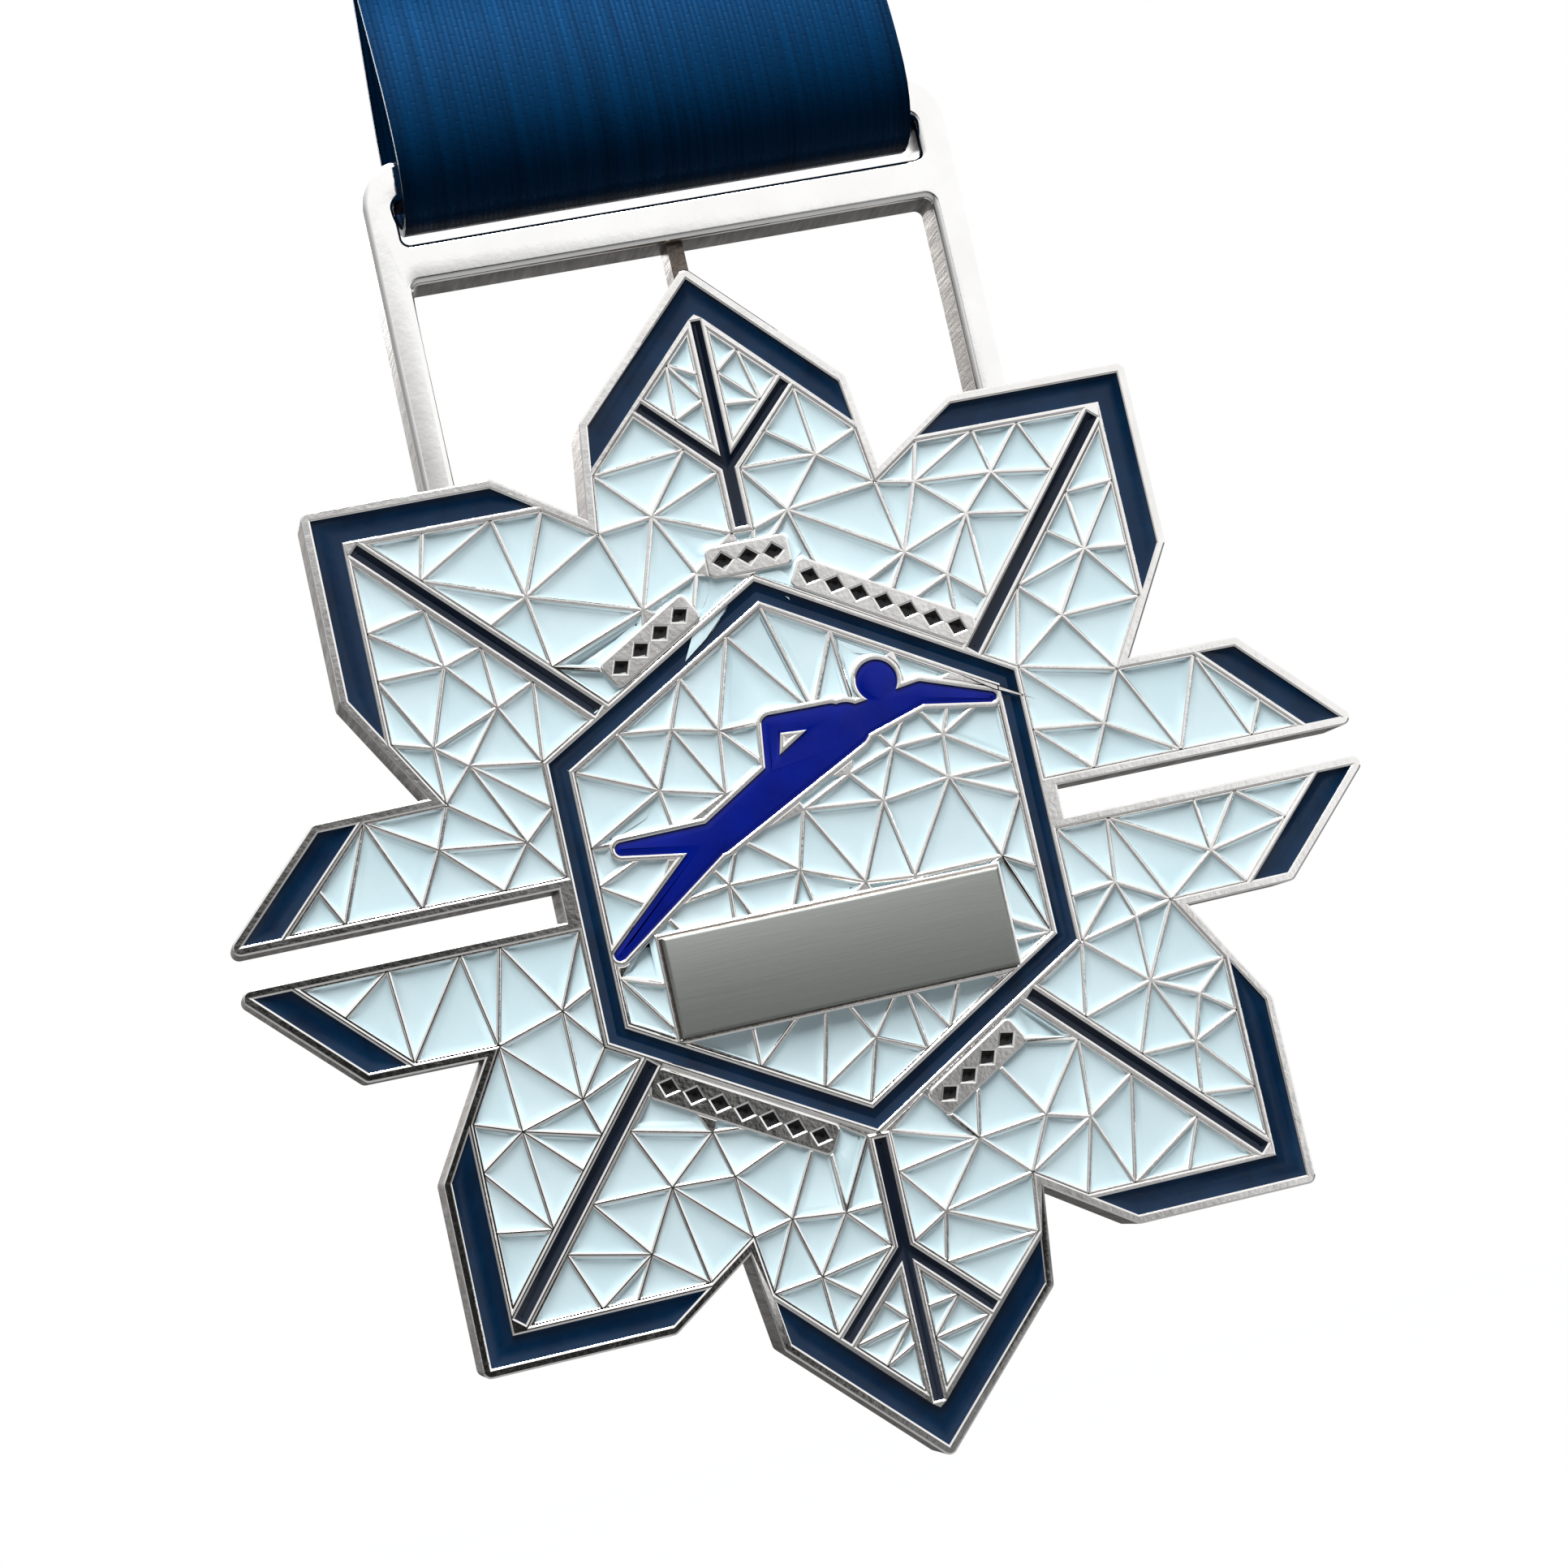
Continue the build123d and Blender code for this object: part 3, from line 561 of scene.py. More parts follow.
# Hanger walls: plating painted dark as painted shade, a little lighter than the casting's walls.
PAINTED_SHADE_HANGER_WALL = GrainedMetal("hanger side wall", light=(0.30, 0.28, 0.26), dark=(0.15, 0.137, 0.125))
BRUSHED = GrainedMetal(
    "satin nickel",
    light=(0.275, 0.285, 0.27),
    dark=(0.235, 0.243, 0.230),
    stretch=(0.05, 1.0, 1.0),
    scale=5200.0,
    roughness=(0.46, 0.56),
    height=0.006 * MM,
)
BACK = Plating(
    "cast back",
    light=(0.60, 0.59, 0.57),
    tarnish=(0.36, 0.33, 0.30),
    roughness=(0.28, 0.42),
    height=0.05 * MM,
)
PALE = Enamel("pale ice enamel", cell_shade=0.45)
NAVY = Enamel("navy enamel", light=(0.002, 0.018, 0.050), deep=(0.001, 0.007, 0.022), gloss=0.24)
INK = Enamel("ink enamel", light=(0.003, 0.008, 0.020), deep=(0.001, 0.004, 0.011), gloss=0.3)
BLACK = Enamel("black enamel", light=(0.008, 0.008, 0.009), deep=(0.003, 0.003, 0.004), gloss=0.25)
ROYAL = Enamel("royal blue enamel", light=(0.0005, 0.008, 0.20), deep=(0.0005, 0.005, 0.125), gloss=0.18)
SATIN = Satin("satin ribbon")
ELASTIC = Corded("ribbed elastic", stretch=(1.0, 1.0, 0.0))
THREAD = Corded(
    "twisted thread",
    light=(0.012, 0.085, 0.23),
    dark=(0.004, 0.03, 0.09),
    stretch=(1.0, 0.0, 0.6),
    pitch=0.5 * MM,
)


# ------------------------------------------------------------------ mesh helpers
def deselect() -> None:
    """Leave edit mode and deselect every object."""
    if bpy.context.object is not None and bpy.context.object.mode != "OBJECT":
        bpy.ops.object.mode_set(mode="OBJECT")
    for item in list(bpy.context.selected_objects):
        item.select_set(False)


def activate(piece: bpy.types.Object) -> None:
    """Make one object the only selected and the active one.

    Args:
        piece: The object.
    """
    deselect()
    piece.select_set(True)
    bpy.context.view_layer.objects.active = piece


def merged_copy(node: str, name: str) -> bpy.types.Object:
    """Copy a CAD node's mesh into a new piece and merge its loose triangles.

    Args:
        node: Name of the CAD node.
        name: Name of the new piece.

    Returns:
        The new piece, active and in object mode.
    """
    source = frame["nodes"][node]
    mesh = source.data.copy()
    mesh.name = name
    mesh.materials.clear()
    piece = bpy.data.objects.new(name, mesh)
    bpy.context.scene.collection.objects.link(piece)
    activate(piece)
    if mesh.has_custom_normals:
        bpy.ops.mesh.customdata_custom_splitnormals_clear()
    bpy.ops.object.mode_set(mode="EDIT")
    bpy.ops.mesh.select_all(action="SELECT")
    bpy.ops.mesh.remove_doubles(threshold=MERGE_DISTANCE)
    bpy.ops.object.mode_set(mode="OBJECT")
    return piece


def mark_faces(piece: bpy.types.Object, marks: Sequence[bool]) -> None:
    """Select the marked faces of a mesh and nothing else.

    Args:
        piece: The active object, in object mode.
        marks: One value for each face.
    """
    mesh = piece.data
    mesh.vertices.foreach_set("select", [False] * len(mesh.vertices))
    mesh.edges.foreach_set("select", [False] * len(mesh.edges))
    mesh.polygons.foreach_set("select", marks)
    mesh.update()


def select_faces(piece: bpy.types.Object, test: FaceTest) -> None:
    """Select the faces of a mesh whose centre and normal pass a test.

    Args:
        piece: The active object, in object mode.
        test: Takes a face's centre and normal.
    """
    mark_faces(piece, [test(face.center, face.normal) for face in piece.data.polygons])


def select_front(piece: bpy.types.Object, depth: float) -> None:
    """Select the flat faces that face the front at one depth.

    Args:
        piece: The active object, in object mode.
        depth: Their Y coordinate.
    """
    select_faces(piece, lambda c, n: n.y < -FACING and abs(c.y - depth) < FLAT_LEVEL)


def inset_selected(steps: Iterable[tuple[float, float]]) -> None:
    """Draw the selected region in and move it along its normal, step by step.

    Args:
        steps: Pairs of how far in and how far out along the normal, in metres.
    """
    bpy.ops.object.mode_set(mode="EDIT")
    bpy.ops.mesh.select_mode(type="FACE")
    for inwards, outwards in steps:
        bpy.ops.mesh.inset(thickness=inwards, depth=outwards, use_even_offset=True)
    bpy.ops.object.mode_set(mode="OBJECT")


def paint_faces(
    piece: bpy.types.Object, finishes: Sequence[Finish], pick: FacePick = lambda centre, normal: 0
) -> None:
    """Give each face one of several finishes by its place.

    Args:
        piece: The piece.
        finishes: The finishes, in slot order.
        pick: Takes a face's centre and normal and returns the slot, the first unless told.
    """
    for finish in finishes:
        piece.data.materials.append(finish.material())
    for face in piece.data.polygons:
        face.material_index = pick(face.center, face.normal)


def settle(
    piece: bpy.types.Object, body: Body, slot: Slot, nodes: Sequence[str], angle: float
) -> bpy.types.Object:
    """Smooth a finished piece, hang it on its body and hide the CAD nodes that it stands for.

    Args:
        piece: The piece, in place.
        body: The body that it rides on.
        slot: The record's material slot; not used.
        nodes: CAD nodes that it replaces.
        angle: Edges sharper than this many degrees stay crisp.

    Returns:
        The piece.
    """
    activate(piece)
    bpy.ops.object.shade_smooth_by_angle(angle=math.radians(angle))
    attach(piece, body.value)
    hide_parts(*nodes)
    log.info("%s: %d faces", piece.name, len(piece.data.polygons))
    return piece


def extent(node: str, axis: int) -> tuple[float, float]:
    """Find how far a CAD node reaches along one axis.

    Args:
        node: Name of the CAD node.
        axis: 0 for X, 1 for Y, 2 for Z.

    Returns:
        Its lowest and its highest coordinate.
    """
    low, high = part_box(node)
    return low[axis], high[axis]


class Groups:
    """Vertices joined into groups by the edges between them."""

    def __init__(self) -> None:
        """Start with every vertex on its own."""
        self._parent: dict[int, int] = {}

    def head(self, index: int) -> int:
        """Find the vertex that stands for a group.

        Args:
            index: Any vertex of the group.

        Returns:
            The vertex that stands for it.
        """
        parent = self._parent
        parent.setdefault(index, index)
        while parent[index] != index:
            parent[index] = parent[parent[index]]
            index = parent[index]
        return index

    def join(self, edge: Iterable[int]) -> None:
        """Join the groups at both ends of an edge.

        Args:
            edge: The edge's two vertices.
        """
        first, second = (self.head(index) for index in edge)
        self._parent[first] = second


# ------------------------------------------------------------------ the casting
@dataclass
class SnowflakeCasting:
    """The plated snowflake: softened ridge lines, side walls whose plating is painted dark as painted
    shade, and a cast back.
    """

    rim_steps: Steps = ((0.07 * MM, 0.05 * MM), (0.06 * MM, 0.02 * MM))
    cell_line_steps: Steps = ((0.07 * MM, 0.055 * MM), (0.05 * MM, 0.015 * MM))
    back_steps: Steps = ((0.12 * MM, 0.05 * MM),)
    line_drop: float = 0.05 * MM
    wall_share: float = 0.36

    def build(self) -> bpy.types.Object:
        """Build the casting on a copy of its CAD mesh.

        Returns:
            The finished piece.
        """
        node = "snowflake_plate"
        face, back = extent(node, 1)
        piece = merged_copy(node, "snowflake_casting")
        for height, steps in ((face, self.rim_steps), (face + self.line_drop, self.cell_line_steps)):
            select_front(piece, height)
            inset_selected(steps)
        select_faces(piece, lambda c, n: n.y > FACING and abs(c.y - back) < FLAT_LEVEL)
        inset_selected(self.back_steps)
        wall = face + self.wall_share * (back - face) / 2

        def pick(centre: Vector, normal: Vector) -> int:
            """Front and ridges bright, side walls painted dark as painted shade, back satin."""
            if normal.y > 0.3 and centre.y > 0:
                return 2
            return 1 if abs(normal.y) < 0.3 and centre.y > wall else 0

        paint_faces(piece, (BRIGHT, PAINTED_SHADE_WALL, BACK), pick)
        return settle(piece, Body.MEDAL, Slot.NICKEL, [node], angle=14.0)


@dataclass
class HangerFrame:
    """The flat hanger: bright rounded faces, and inner and outer walls whose plating is painted darker as
    painted shade.
    """

    neck: float = 0.65 * MM

    def build(self) -> bpy.types.Object:
        """Build the hanger on a copy of its CAD mesh.

        Returns:
            The finished piece.
        """
        node = "hanger_frame"
        piece = merged_copy(node, "hanger")
        middle = sum(extent(node, 0)) / 2
        _, tip = extent("snowflake_plate", 2)

        def pick(centre: Vector, normal: Vector) -> int:
            """Bright faces, walls painted darker and the neck darker still, all as painted shade."""
            if abs(centre.x - middle) < self.neck and centre.z < tip + 3 * self.neck:
                return 2
            return 1 if abs(normal.y) < 0.12 else 0

        paint_faces(piece, (POLISHED, PAINTED_SHADE_HANGER_WALL, PAINTED_SHADE_WALL), pick)
        return settle(piece, Body.MEDAL, Slot.NICKEL, [node], angle=50.0)


@dataclass
class NamePlate:
    """The blank plate with its brushed face and brushed bevel."""

    bevel_steps: Steps = ((0.10 * MM, 0.03 * MM),)

    def build(self) -> bpy.types.Object:
        """Build the plate on a copy of its CAD mesh.

        Returns:
            The finished piece.
        """
        node = "name_plate"
        face, _ = extent(node, 1)
        piece = merged_copy(node, "blank_name_plate")
        select_front(piece, face)
        inset_selected(self.bevel_steps)
        # The side walls take the dark wall finish: plating painted dark as painted shade.
        paint_faces(piece, (BRUSHED, PAINTED_SHADE_WALL), lambda c, n: 1 if abs(n.y) < 0.2 else 0)
        return settle(piece, Body.MEDAL, Slot.SATIN_NICKEL, [node], angle=20.0)


# ------------------------------------------------------------------ enamel
@dataclass
class EnamelFills:
    """Every enamel fill: the skin climbs its pocket's walls and sags or swells inside."""

    pale_sag: Steps = ((0.14, -0.075), (0.22, -0.07), (0.28, -0.04))
    dark_sag: Steps = ((0.2, -0.07), (0.34, -0.065), (0.36, -0.03))
    swell: Steps = ((0.12, 0.05), (0.2, 0.045), (0.26, 0.02))
    size_classes: tuple[float, ...] = (0.34, 0.48, 0.66, 0.9)
    widths: tuple[float, float] = (0.26, 0.9)
    climb: float = 0.06 * MM
    seed: int = 5

    def _profile(self, node: str) -> Steps:
        """Choose how a fill's skin runs from its edge to its middle.

        Args:
            node: Name of the node.

        Returns:
            Steps, each a share of the fill's reach inwards and millimetres outwards.
        """
        if "swimmer" in node:
            return self.swell
        return self.pale_sag if "pale" in node else self.dark_sag

    def _reach(self, mesh: bpy.types.Mesh, face: float) -> dict[int, float]:
        """How far the top of each loose fill reaches in from its edges.

        Args:
            mesh: Mesh of the fills of one node.
            face: Depth of their flat tops.

        Returns:
            Polygon index of every top face to the reach of its fill, in metres.
        """
        tops = [p for p in mesh.polygons if p.normal.y < -FACING and abs(p.center.y - face) < FLAT_LEVEL]
        groups = Groups()
        uses: dict[tuple[int, int], int] = {}
        for top in tops:
            for key in top.edge_keys:
                uses[key] = uses.get(key, 0) + 1
                groups.join(key)
        area: dict[int, float] = {}
        rim: dict[int, float] = {}
        for top in tops:
            head = groups.head(top.vertices[0])
            area[head] = area.get(head, 0.0) + top.area
        for key, count in uses.items():
            if count == 1:
                a, b = (mesh.vertices[i].co for i in key)
                head = groups.head(key[0])
                rim[head] = rim.get(head, 0.0) + (a - b).length
        heads = {top.index: groups.head(top.vertices[0]) for top in tops}
        return {index: 2 * area[head] / rim[head] for index, head in heads.items()}

    def _shape(self, piece: bpy.types.Object, node: str, face: float) -> None:
        """Curve the top of every fill of one node, by classes of its size.

        Args:
            piece: The fills of one node, active.
            node: Name of the node.
            face: Depth of the flat tops.
        """
        if "swimmer" not in node:
            select_front(piece, face)
            inset_selected(((0.0, self.climb),))
            face -= self.climb
        limits = (0.0, *(size * MM for size in self.size_classes), math.inf)
        for low, high in zip(limits, limits[1:]):
            reach = self._reach(piece.data, face)
            chosen = {i for i, r in reach.items() if low <= r < high}
            if not chosen:
                continue
            narrowest, widest = self.widths
            width = min(max(low, narrowest * MM), widest * MM)
            mark_faces(piece, [i in chosen for i in range(len(piece.data.polygons))])
            inset_selected([(share * width, out * MM) for share, out in self._profile(node)])

    def _look(self, node: str) -> tuple[Finish, Slot]:
        """Choose a fill's finish by its node's name.

        Args:
            node: Name of the node.

        Returns:
            The finish and the record's material slot.
        """
        looks = {
            "pale": (PALE, Slot.PALE),
            "vein": (INK, Slot.INK),
            "marks": (BLACK, Slot.BLACK),
            "swimmer": (ROYAL, Slot.ROYAL),
        }
        for word, look in looks.items():
            if word in node:
                return look
        return NAVY, Slot.NAVY

    def _shade_cells(self, piece: bpy.types.Object, rng: random.Random) -> None:
        """Write one random shade to each loose cell of a piece.

        Args:
            piece: The fill.
            rng: The seeded source of the shades.
        """
        mesh = piece.data
        groups = Groups()
        for edge in mesh.edges:
            groups.join(edge.vertices)
        shades: dict[int, float] = {}
        values = []
        for index in range(len(mesh.vertices)):
            values.append(shades.setdefault(groups.head(index), rng.random()))
        attribute = mesh.attributes.new(SHADE_ATTRIBUTE, "FLOAT", "POINT")
        attribute.data.foreach_set("value", values)

    def build(self) -> list[bpy.types.Object]:
        """Build every fill on a copy of its CAD mesh.

        Returns:
            The finished pieces.
        """
        rng = random.Random(self.seed)
        pieces = []
        for node in sorted(n for n in frame["nodes"] if n.startswith("enamel_")):
            face, _ = extent(node, 1)
            piece = merged_copy(node, node.replace("enamel_", "fill_"))
            self._shape(piece, node, face)
            finish, slot = self._look(node)
            if slot is Slot.PALE:
                self._shade_cells(piece, rng)
            paint_faces(piece, (finish,))
            pieces.append(settle(piece, Body.MEDAL, slot, [node], angle=60.0))
        return pieces


# ------------------------------------------------------------------ ribbon
@dataclass
class NeckRibbon:
    """One satin strip: round the top bar, up in two strands and folded upon itself."""

    length: float = 813.0 * MM
    width: float = 38.0 * MM
    thickness: float = 0.5 * MM
    layers: int = 12
    front_layers: int = 5
    columns: int = 20
    arc_steps: int = 12
    belly: float = 4.4 * MM
    belly_height: float = 1.6 * MM
    entry_gap: float = 1.2 * MM
    end_gap: float = 2.6 * MM
    strand_points: int = 14
    spacing: float = 1.6 * MM
    ripple: float = 0.06 * MM
    seed: int = 8
    stitch_size: tuple[float, float, float] = (2.4 * MM, 0.42 * MM, 0.46 * MM)
    stitch_gap: float = 1.1 * MM
    stitch_rows: tuple[float, ...] = (6.0 * MM, 13.0 * MM)
    rng: random.Random = field(init=False)

    def __post_init__(self) -> None:
        """Read the places of the folds and of the turn from the frame."""
        self.rng = random.Random(self.seed)
        self.bottom, self.top = extent("ribbon_hank", 2)
        depth = extent("ribbon_hank", 1)
        self.pitch = (depth[1] - depth[0]) / self.layers
        joint = next(j for j in frame["joints"] if j["name"] == "medal_swing")
        self.bar = joint["pos_m"][2]
        turn = self.bar - extent("ribbon_loop", 2)[0]
        self.turn_radius = turn - 0.3 * MM

    def _layer(self, index: int) -> float:
        """Find a layer's place.

        Args:
            index: Number of the layer, 1 at the front.

        Returns:
            Depth of its middle.
        """
        return (index - (self.layers + 1) / 2) * self.pitch

    def _arc(self, centre: Point, radius: float, start: float, end: float) -> list[Point]:
        """Put points on an arc seen from the side.

        Args:
            centre: Its middle as (y, z).
            radius: Its radius.
            start: Angle of its first point in degrees from +Y towards +Z.
            end: Angle of its last point.

        Returns:
            The points.
        """
        points = []
        for k in range(self.arc_steps + 1):
            a = math.radians(start + (end - start) * k / self.arc_steps)
            points.append((centre[0] + radius * math.cos(a), centre[1] + radius * math.sin(a)))
        return points

    def _run(self, y: float, z0: float, z1: float) -> list[Point]:
        """Put points on a nearly straight run of one layer.

        Args:
            y: Depth of the layer.
            z0: Height at which the run starts.
            z1: Height at which it ends.

        Returns:
            The points between the two ends.
        """
        count = max(2, round(abs(z1 - z0) / self.spacing))
        phase = self.rng.uniform(0, math.tau)
        points = []
        for k in range(1, count):
            t = k / count
            sway = self.ripple * math.sin(phase + 5.0 * t) * math.sin(math.pi * t)
            points.append((y + sway, z0 + (z1 - z0) * t))
        return points

    def _half(self, order: Sequence[int]) -> list[Point]:
        """Fold one strand from where it enters.

        Args:
            order: Its layers in the order in which it lies in them.

        Returns:
            Points of its middle line.
        """
        radius = self.pitch / 2
        points = []
        low = self.bottom + self.entry_gap
        height = low
        for step, (layer, following) in enumerate(zip(order, list(order[1:]) + [None])):
            y = self._layer(layer)
            rising = step % 2 == 0
            inner = abs(layer - (self.layers + 1) / 2) / (self.layers / 2)
            top = self.top - (1.2 + 3.6 * inner**2) * MM - self.rng.uniform(0.0, 0.5) * MM
            goal = top if rising else low + self.rng.uniform(-0.4, 0.9) * MM
            points += self._run(y, height, goal)
            height = goal
            if following is None:
                break
            side = 1 if following > layer else -1
            middle = (y + side * radius, goal)
            start = 180.0 if side > 0 else 0.0
            sweep = 0.0 if side > 0 else 180.0
            if not rising:
                start, sweep = (180.0, 360.0) if side > 0 else (0.0, -180.0)
            points += self._arc(middle, radius, start, sweep)
        return points

    def _path(self) -> list[Point]:
        """Lay out the strip's middle line.

        Returns:
            Its points seen from the side, as (y, z), from end to end.
        """
        low = self.bar - self.turn_radius
        belly = self.bar + self.belly_height
        entry = self.bottom + self.entry_gap
        front = [self.front_layers - k for k in range(self.front_layers)]
        back = [self.front_layers + 1 + k for k in range(self.layers - self.front_layers - 1)]
        strands = []
        for side, order in ((-1, front), (1, back)):
            y_in = self._layer(order[0])
            strand = []
            for k in range(1, self.strand_points + 1):
                t = k / self.strand_points
                blend = t * t * (3 - 2 * t)
                y = side * self.belly + (y_in - side * self.belly) * blend
                strand.append((y, belly + (entry - belly) * t))
            strands.append(strand + self._half(order))
        y_out = self._layer(1)
        y_end = self._layer(self.layers)
        crown = self.top - self.thickness / 2 - (y_end - y_out) / 2
        over = [(y_out, crown - 1.0 * MM)]
        over += self._arc(((y_out + y_end) / 2, crown), (y_end - y_out) / 2, 180.0, 0.0)
        over += self._run(y_end, crown, self.bottom + self.end_gap)
        strands[0] = [p for p in strands[0] if not (p[0] < y_out + 0.3 * MM and p[1] > crown - 1.0 * MM)]
        turn = []
        for y, z in self._arc((0.0, 0.0), 1.0, 180.0, 360.0):
            turn.append((y * self.belly, belly + z * (belly - low)))
        return (strands[0] + over)[::-1] + turn + strands[1]

    def _strip(self) -> bpy.types.Object:
        """Make the strip along its middle line, with a UV map in metres.

        Returns:
            The strip.
        """
        path = self._path()
        lengths = [0.0]
        for a, b in zip(path, path[1:]):
            lengths.append(lengths[-1] + math.dist(a, b))
        log.info("ribbon path %.1f mm", lengths[-1] / MM)
        vertices, faces, uvs = [], [], []
        drift = [self.rng.uniform(-0.25, 0.25) * MM for _ in range(40)]
        for row, ((y, z), run) in enumerate(zip(path, lengths)):
            share = run / lengths[-1] * (len(drift) - 1)
            k = min(int(share), len(drift) - 2)
            shift = drift[k] + (drift[k + 1] - drift[k]) * (share - k)
            if z < self.bottom:
                shift *= 0.3
            for column in range(self.columns + 1):
                u = (column / self.columns - 0.5) * self.width
                vertices.append((u + shift, y, z))
                uvs.append((u, run))
                if row and column:
                    here = row * (self.columns + 1) + column
                    faces.append((here - 1, here, here - self.columns - 1, here - self.columns - 2))
        mesh = bpy.data.meshes.new("neck_ribbon")
        mesh.from_pydata(vertices, [], faces)
        layer = mesh.uv_layers.new(name="weave")
        for loop in mesh.loops:
            layer.data[loop.index].uv = uvs[loop.vertex_index]
        piece = bpy.data.objects.new("neck_ribbon", mesh)
        bpy.context.scene.collection.objects.link(piece)
        activate(piece)
        solid = piece.modifiers.new("thickness", "SOLIDIFY")
        solid.thickness = self.thickness
        solid.offset = 0.0
        bpy.ops.object.modifier_apply(modifier=solid.name)
        return piece

    def _stitches(self) -> bpy.types.Object:
        """Sew rows of threads through the ribbon's joined ends.

        Returns:
            All the threads as one piece.
        """
        step = self.stitch_size[0] + self.stitch_gap
        count = int((self.width - 4.0 * MM) // step)
        y = self._layer(self.layers) + self.thickness / 2
        made = []
        for row in self.stitch_rows:
            for k in range(count):
                spot = ((k - (count - 1) / 2) * step, y, self.bottom + row)
                deselect()
                bpy.ops.mesh.primitive_uv_sphere_add(segments=10, ring_count=8, radius=0.5, location=spot)
                thread = bpy.context.object
                thread.scale = self.stitch_size
                thread.rotation_euler = (0.0, math.radians(self.rng.uniform(-5, 5)), 0.0)
                made.append(thread)
        deselect()
        for thread in made:
            thread.select_set(True)
        bpy.context.view_layer.objects.active = made[0]
        bpy.ops.object.join()
        piece = bpy.context.object
        bpy.ops.object.transform_apply(location=True, rotation=True, scale=True)
        piece.name = "end_stitches"
        return piece

    def build(self) -> list[bpy.types.Object]:
        """Build the strip and the stitches through its ends.

        Returns:
            The strip and the stitches.
        """
        strip = self._strip()
        paint_faces(strip, (SATIN,))
        settle(strip, Body.RIBBON, Slot.RIBBON, ["ribbon_loop", "ribbon_hank"], angle=80.0)
        stitches = self._stitches()
        paint_faces(stitches, (THREAD,))
        settle(stitches, Body.RIBBON, Slot.THREAD, ["seam_stitches"], angle=80.0)
        return [strip, stitches]


@dataclass
class HankBand:
    """The elastic band round the folded ribbon."""

    bevel: float = 0.4 * MM
    segments: int = 3

    def build(self) -> bpy.types.Object:
        """Build the band on a copy of its CAD mesh, with rounded edges.

        Returns:
            The finished piece.
        """
        node = "hank_band"
        piece = merged_copy(node, "elastic_hank_band")
        bevel = piece.modifiers.new("round", "BEVEL")
        bevel.width = self.bevel
        bevel.segments = self.segments
        bevel.limit_method = "ANGLE"
        bevel.angle_limit = math.radians(50)
        bpy.ops.object.modifier_apply(modifier=bevel.name)
        paint_faces(piece, (ELASTIC,))
        return settle(piece, Body.RIBBON, Slot.BAND, [node], angle=50.0)


# ------------------------------------------------------------------ studio
@dataclass(frozen=True)
class Lamp:
    """One soft area lamp aimed at the medal."""

    name: str
    place: tuple[float, float, float]
    size: float
    power: float
    colour: Colour = (1.0, 1.0, 1.0)

    def build(self, target: Vector) -> bpy.types.Object:
        """Add the lamp.

        Args:
            target: Point that it faces.

        Returns:
            The lamp.
        """
        data = bpy.data.lights.new(self.name, "AREA")
        data.shape = "SQUARE"
        data.size = self.size
        data.energy = self.power
        data.color = self.colour
        lamp = bpy.data.objects.new(self.name, data)
        bpy.context.scene.collection.objects.link(lamp)
        lamp.location = target + Vector(self.place)
        lamp.rotation_euler = (-Vector(self.place)).to_track_quat("-Z", "Y").to_euler()
        return lamp


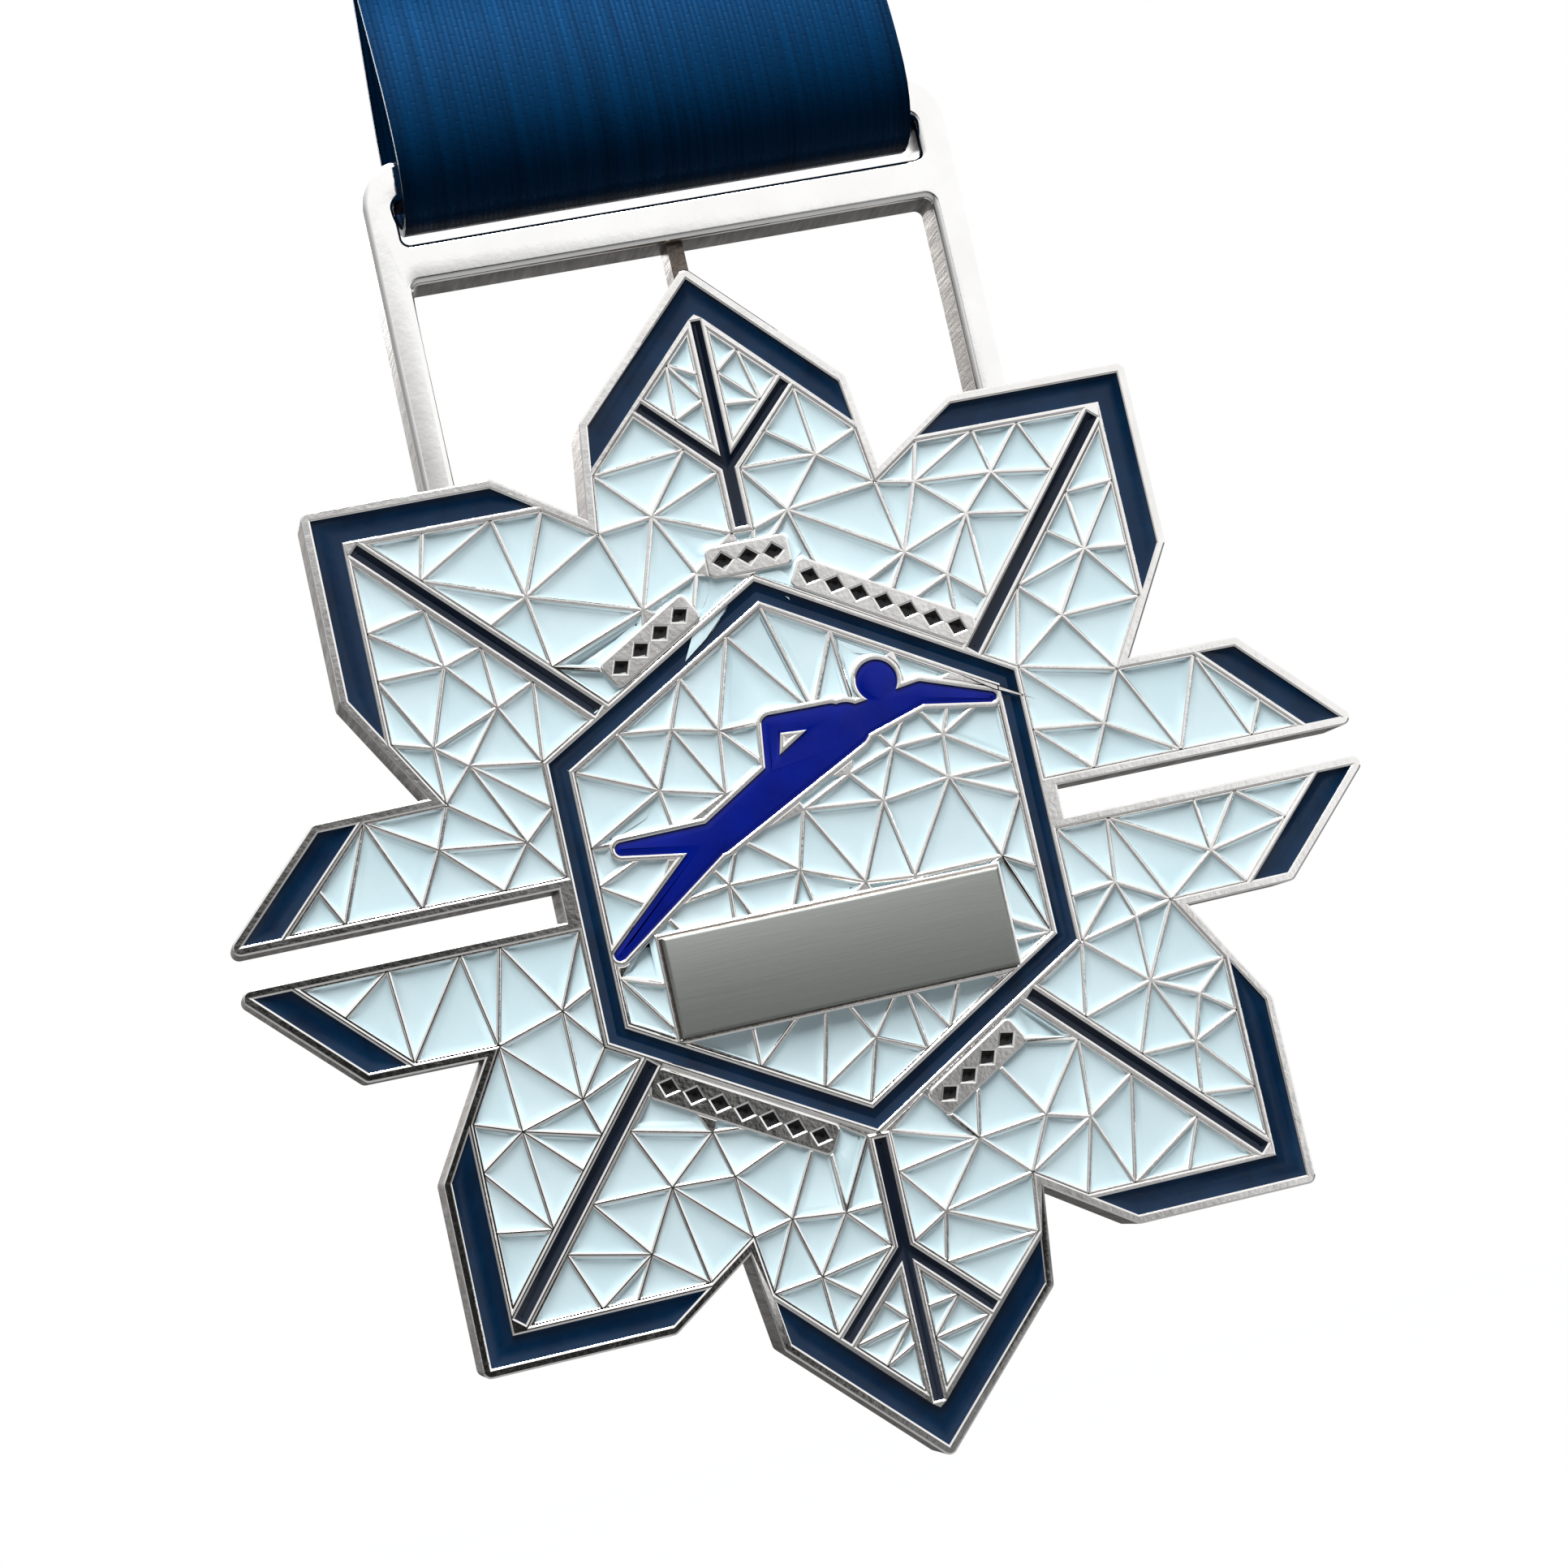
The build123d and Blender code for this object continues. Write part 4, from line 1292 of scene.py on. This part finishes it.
@dataclass
class Studio:
    """Camera, lamps, white surroundings and a pale floor."""

    yaw: float = 11.80
    pitch: float = -5.00
    roll: float = -12.72
    distance: float = 243.54 * MM
    offset: tuple[float, float] = (2.24 * MM, -4.93 * MM)
    lens: float = 78.26
    sensor: float = 36.0
    floor_gap: float = 300.0 * MM
    floor_size: float = 6.0
    floor_colour: Colour = (0.20, 0.20, 0.20)
    floor_seen: Colour = (0.82, 0.82, 0.82)
    dark_spot: tuple[float, float, float] = (0.02, -1.0, -0.08)
    spot_edge: tuple[float, float] = (0.990, 0.935)
    spot_light: float = 0.015
    open_slope: tuple[float, float] = (-0.8, 0.3)
    closed_light: float = 0.26
    horizon: tuple[float, float] = (-0.25, 0.8)
    sky: Colour = (0.70, 0.71, 0.73)
    ground: Colour = (0.03, 0.03, 0.032)
    lamps: tuple[Lamp, ...] = (
        Lamp("key lamp", (-0.02, -0.36, 0.80), 0.45, 17.0),
        Lamp("back lamp", (-0.20, 0.60, 0.45), 0.50, 5.0),
    )

    def _camera(self, middle: Vector) -> None:
        """Place the camera to the lower left of the face's normal.

        Args:
            middle: Middle of the snowflake's face.
        """
        turn = Matrix.Rotation(math.radians(self.roll), 3, "Y")
        turn = turn @ Matrix.Rotation(math.radians(self.pitch), 3, "X")
        turn = turn @ Matrix.Rotation(math.radians(self.yaw), 3, "Z")
        back = turn.transposed()
        place = back @ -Vector((self.offset[0], self.distance, self.offset[1]))
        right, ahead, up = (back @ Vector(v) for v in ((1, 0, 0), (0, 1, 0), (0, 0, 1)))
        data = bpy.data.cameras.new("camera")
        data.lens = self.lens
        data.sensor_width = self.sensor
        data.clip_start, data.clip_end = 0.01, 20.0
        camera = bpy.data.objects.new("camera", data)
        bpy.context.scene.collection.objects.link(camera)
        axes = Matrix((right, up, -ahead)).transposed()
        camera.matrix_world = Matrix.Translation(middle + place) @ axes.to_4x4()
        bpy.context.scene.camera = camera

    def _world(self) -> None:
        """White for the camera, a soft studio with a darker side for reflections."""
        world = bpy.data.worlds.new("studio")
        bpy.context.scene.world = world
        world.use_nodes = True
        world.node_tree.nodes.clear()
        graph = Graph(world.node_tree)
        path = graph.add("ShaderNodeLightPath")
        direction = graph.add("ShaderNodeTexCoord").outputs["Generated"]
        parts = graph.add("ShaderNodeSeparateXYZ")
        graph.put(direction, parts.inputs[0])
        slope = graph.math("ADD", parts.outputs["X"], parts.outputs["Z"])
        open_side = graph.range(slope, *self.open_slope, self.closed_light, 1.0)
        aim = graph.add("ShaderNodeVectorMath", operation="DOT_PRODUCT")
        graph.put(direction, aim.inputs[0])
        aim.inputs[1].default_value = Vector(self.dark_spot).normalized()
        lit = graph.range(aim.outputs["Value"], *self.spot_edge, self.spot_light, 1.0)
        shade = graph.math("MULTIPLY", open_side, lit)
        mirrored = graph.mix(shade, (0.0, 0.0, 0.0), (1.0, 1.0, 1.0))
        height = graph.range(parts.outputs["Z"], *self.horizon, 0.0, 1.0)
        ambient = graph.mix(height, self.ground, self.sky)
        white = (1.0, 1.0, 1.0)
        seen = graph.math("MAXIMUM", path.outputs["Is Camera Ray"], path.outputs["Is Transmission Ray"])
        colour = graph.mix(path.outputs["Is Glossy Ray"], ambient, mirrored)
        colour = graph.mix(seen, colour, white)
        background = graph.add("ShaderNodeBackground")
        graph.put(colour, background.inputs["Color"])
        end = graph.add("ShaderNodeOutputWorld")
        graph.put(background.outputs[0], end.inputs["Surface"])

    def _floor(self, lowest: float) -> None:
        """Lay a pale floor well below the hanging medal.

        Args:
            lowest: Lowest height of the medal.
        """
        deselect()
        bpy.ops.mesh.primitive_plane_add(size=self.floor_size, location=(0, 0, lowest - self.floor_gap))
        floor = bpy.context.object
        floor.name = "studio_floor"
        material = bpy.data.materials.new("pale floor")
        material.use_nodes = True
        material.node_tree.nodes.clear()
        graph = Graph(material.node_tree)
        path = graph.add("ShaderNodeLightPath")
        shader = graph.add("ShaderNodeBsdfPrincipled")
        shader.inputs["Base Color"].default_value = (*self.floor_colour, 1.0)
        shader.inputs["Roughness"].default_value = 0.9
        glow = graph.mix(path.outputs["Is Camera Ray"], (0.0, 0.0, 0.0), self.floor_seen)
        graph.put(glow, shader.inputs["Emission Color"])
        shader.inputs["Emission Strength"].default_value = 1.0
        end = graph.add("ShaderNodeOutputMaterial")
        graph.put(shader.outputs[0], end.inputs["Surface"])
        floor.data.materials.append(material)

    def build(self) -> None:
        """Set up the whole studio."""
        low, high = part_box("snowflake_plate")
        middle = (low + high) / 2
        face = Vector((middle.x, low.y, middle.z))
        self._camera(face)
        self._world()
        for lamp in self.lamps:
            lamp.build(middle)
        self._floor(low.z)
        bpy.context.scene.view_settings.view_transform = "Standard"


def main() -> None:
    """Build every piece of the medal and its studio."""
    logging.basicConfig(level=logging.INFO, format="%(name)s: %(message)s")
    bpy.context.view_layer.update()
    Studio().build()
    SnowflakeCasting().build()
    HangerFrame().build()
    NamePlate().build()
    fills = EnamelFills().build()
    log.info("%d enamel fills", len(fills))
    NeckRibbon().build()
    HankBand().build()


if __name__ == "__main__":
    main()
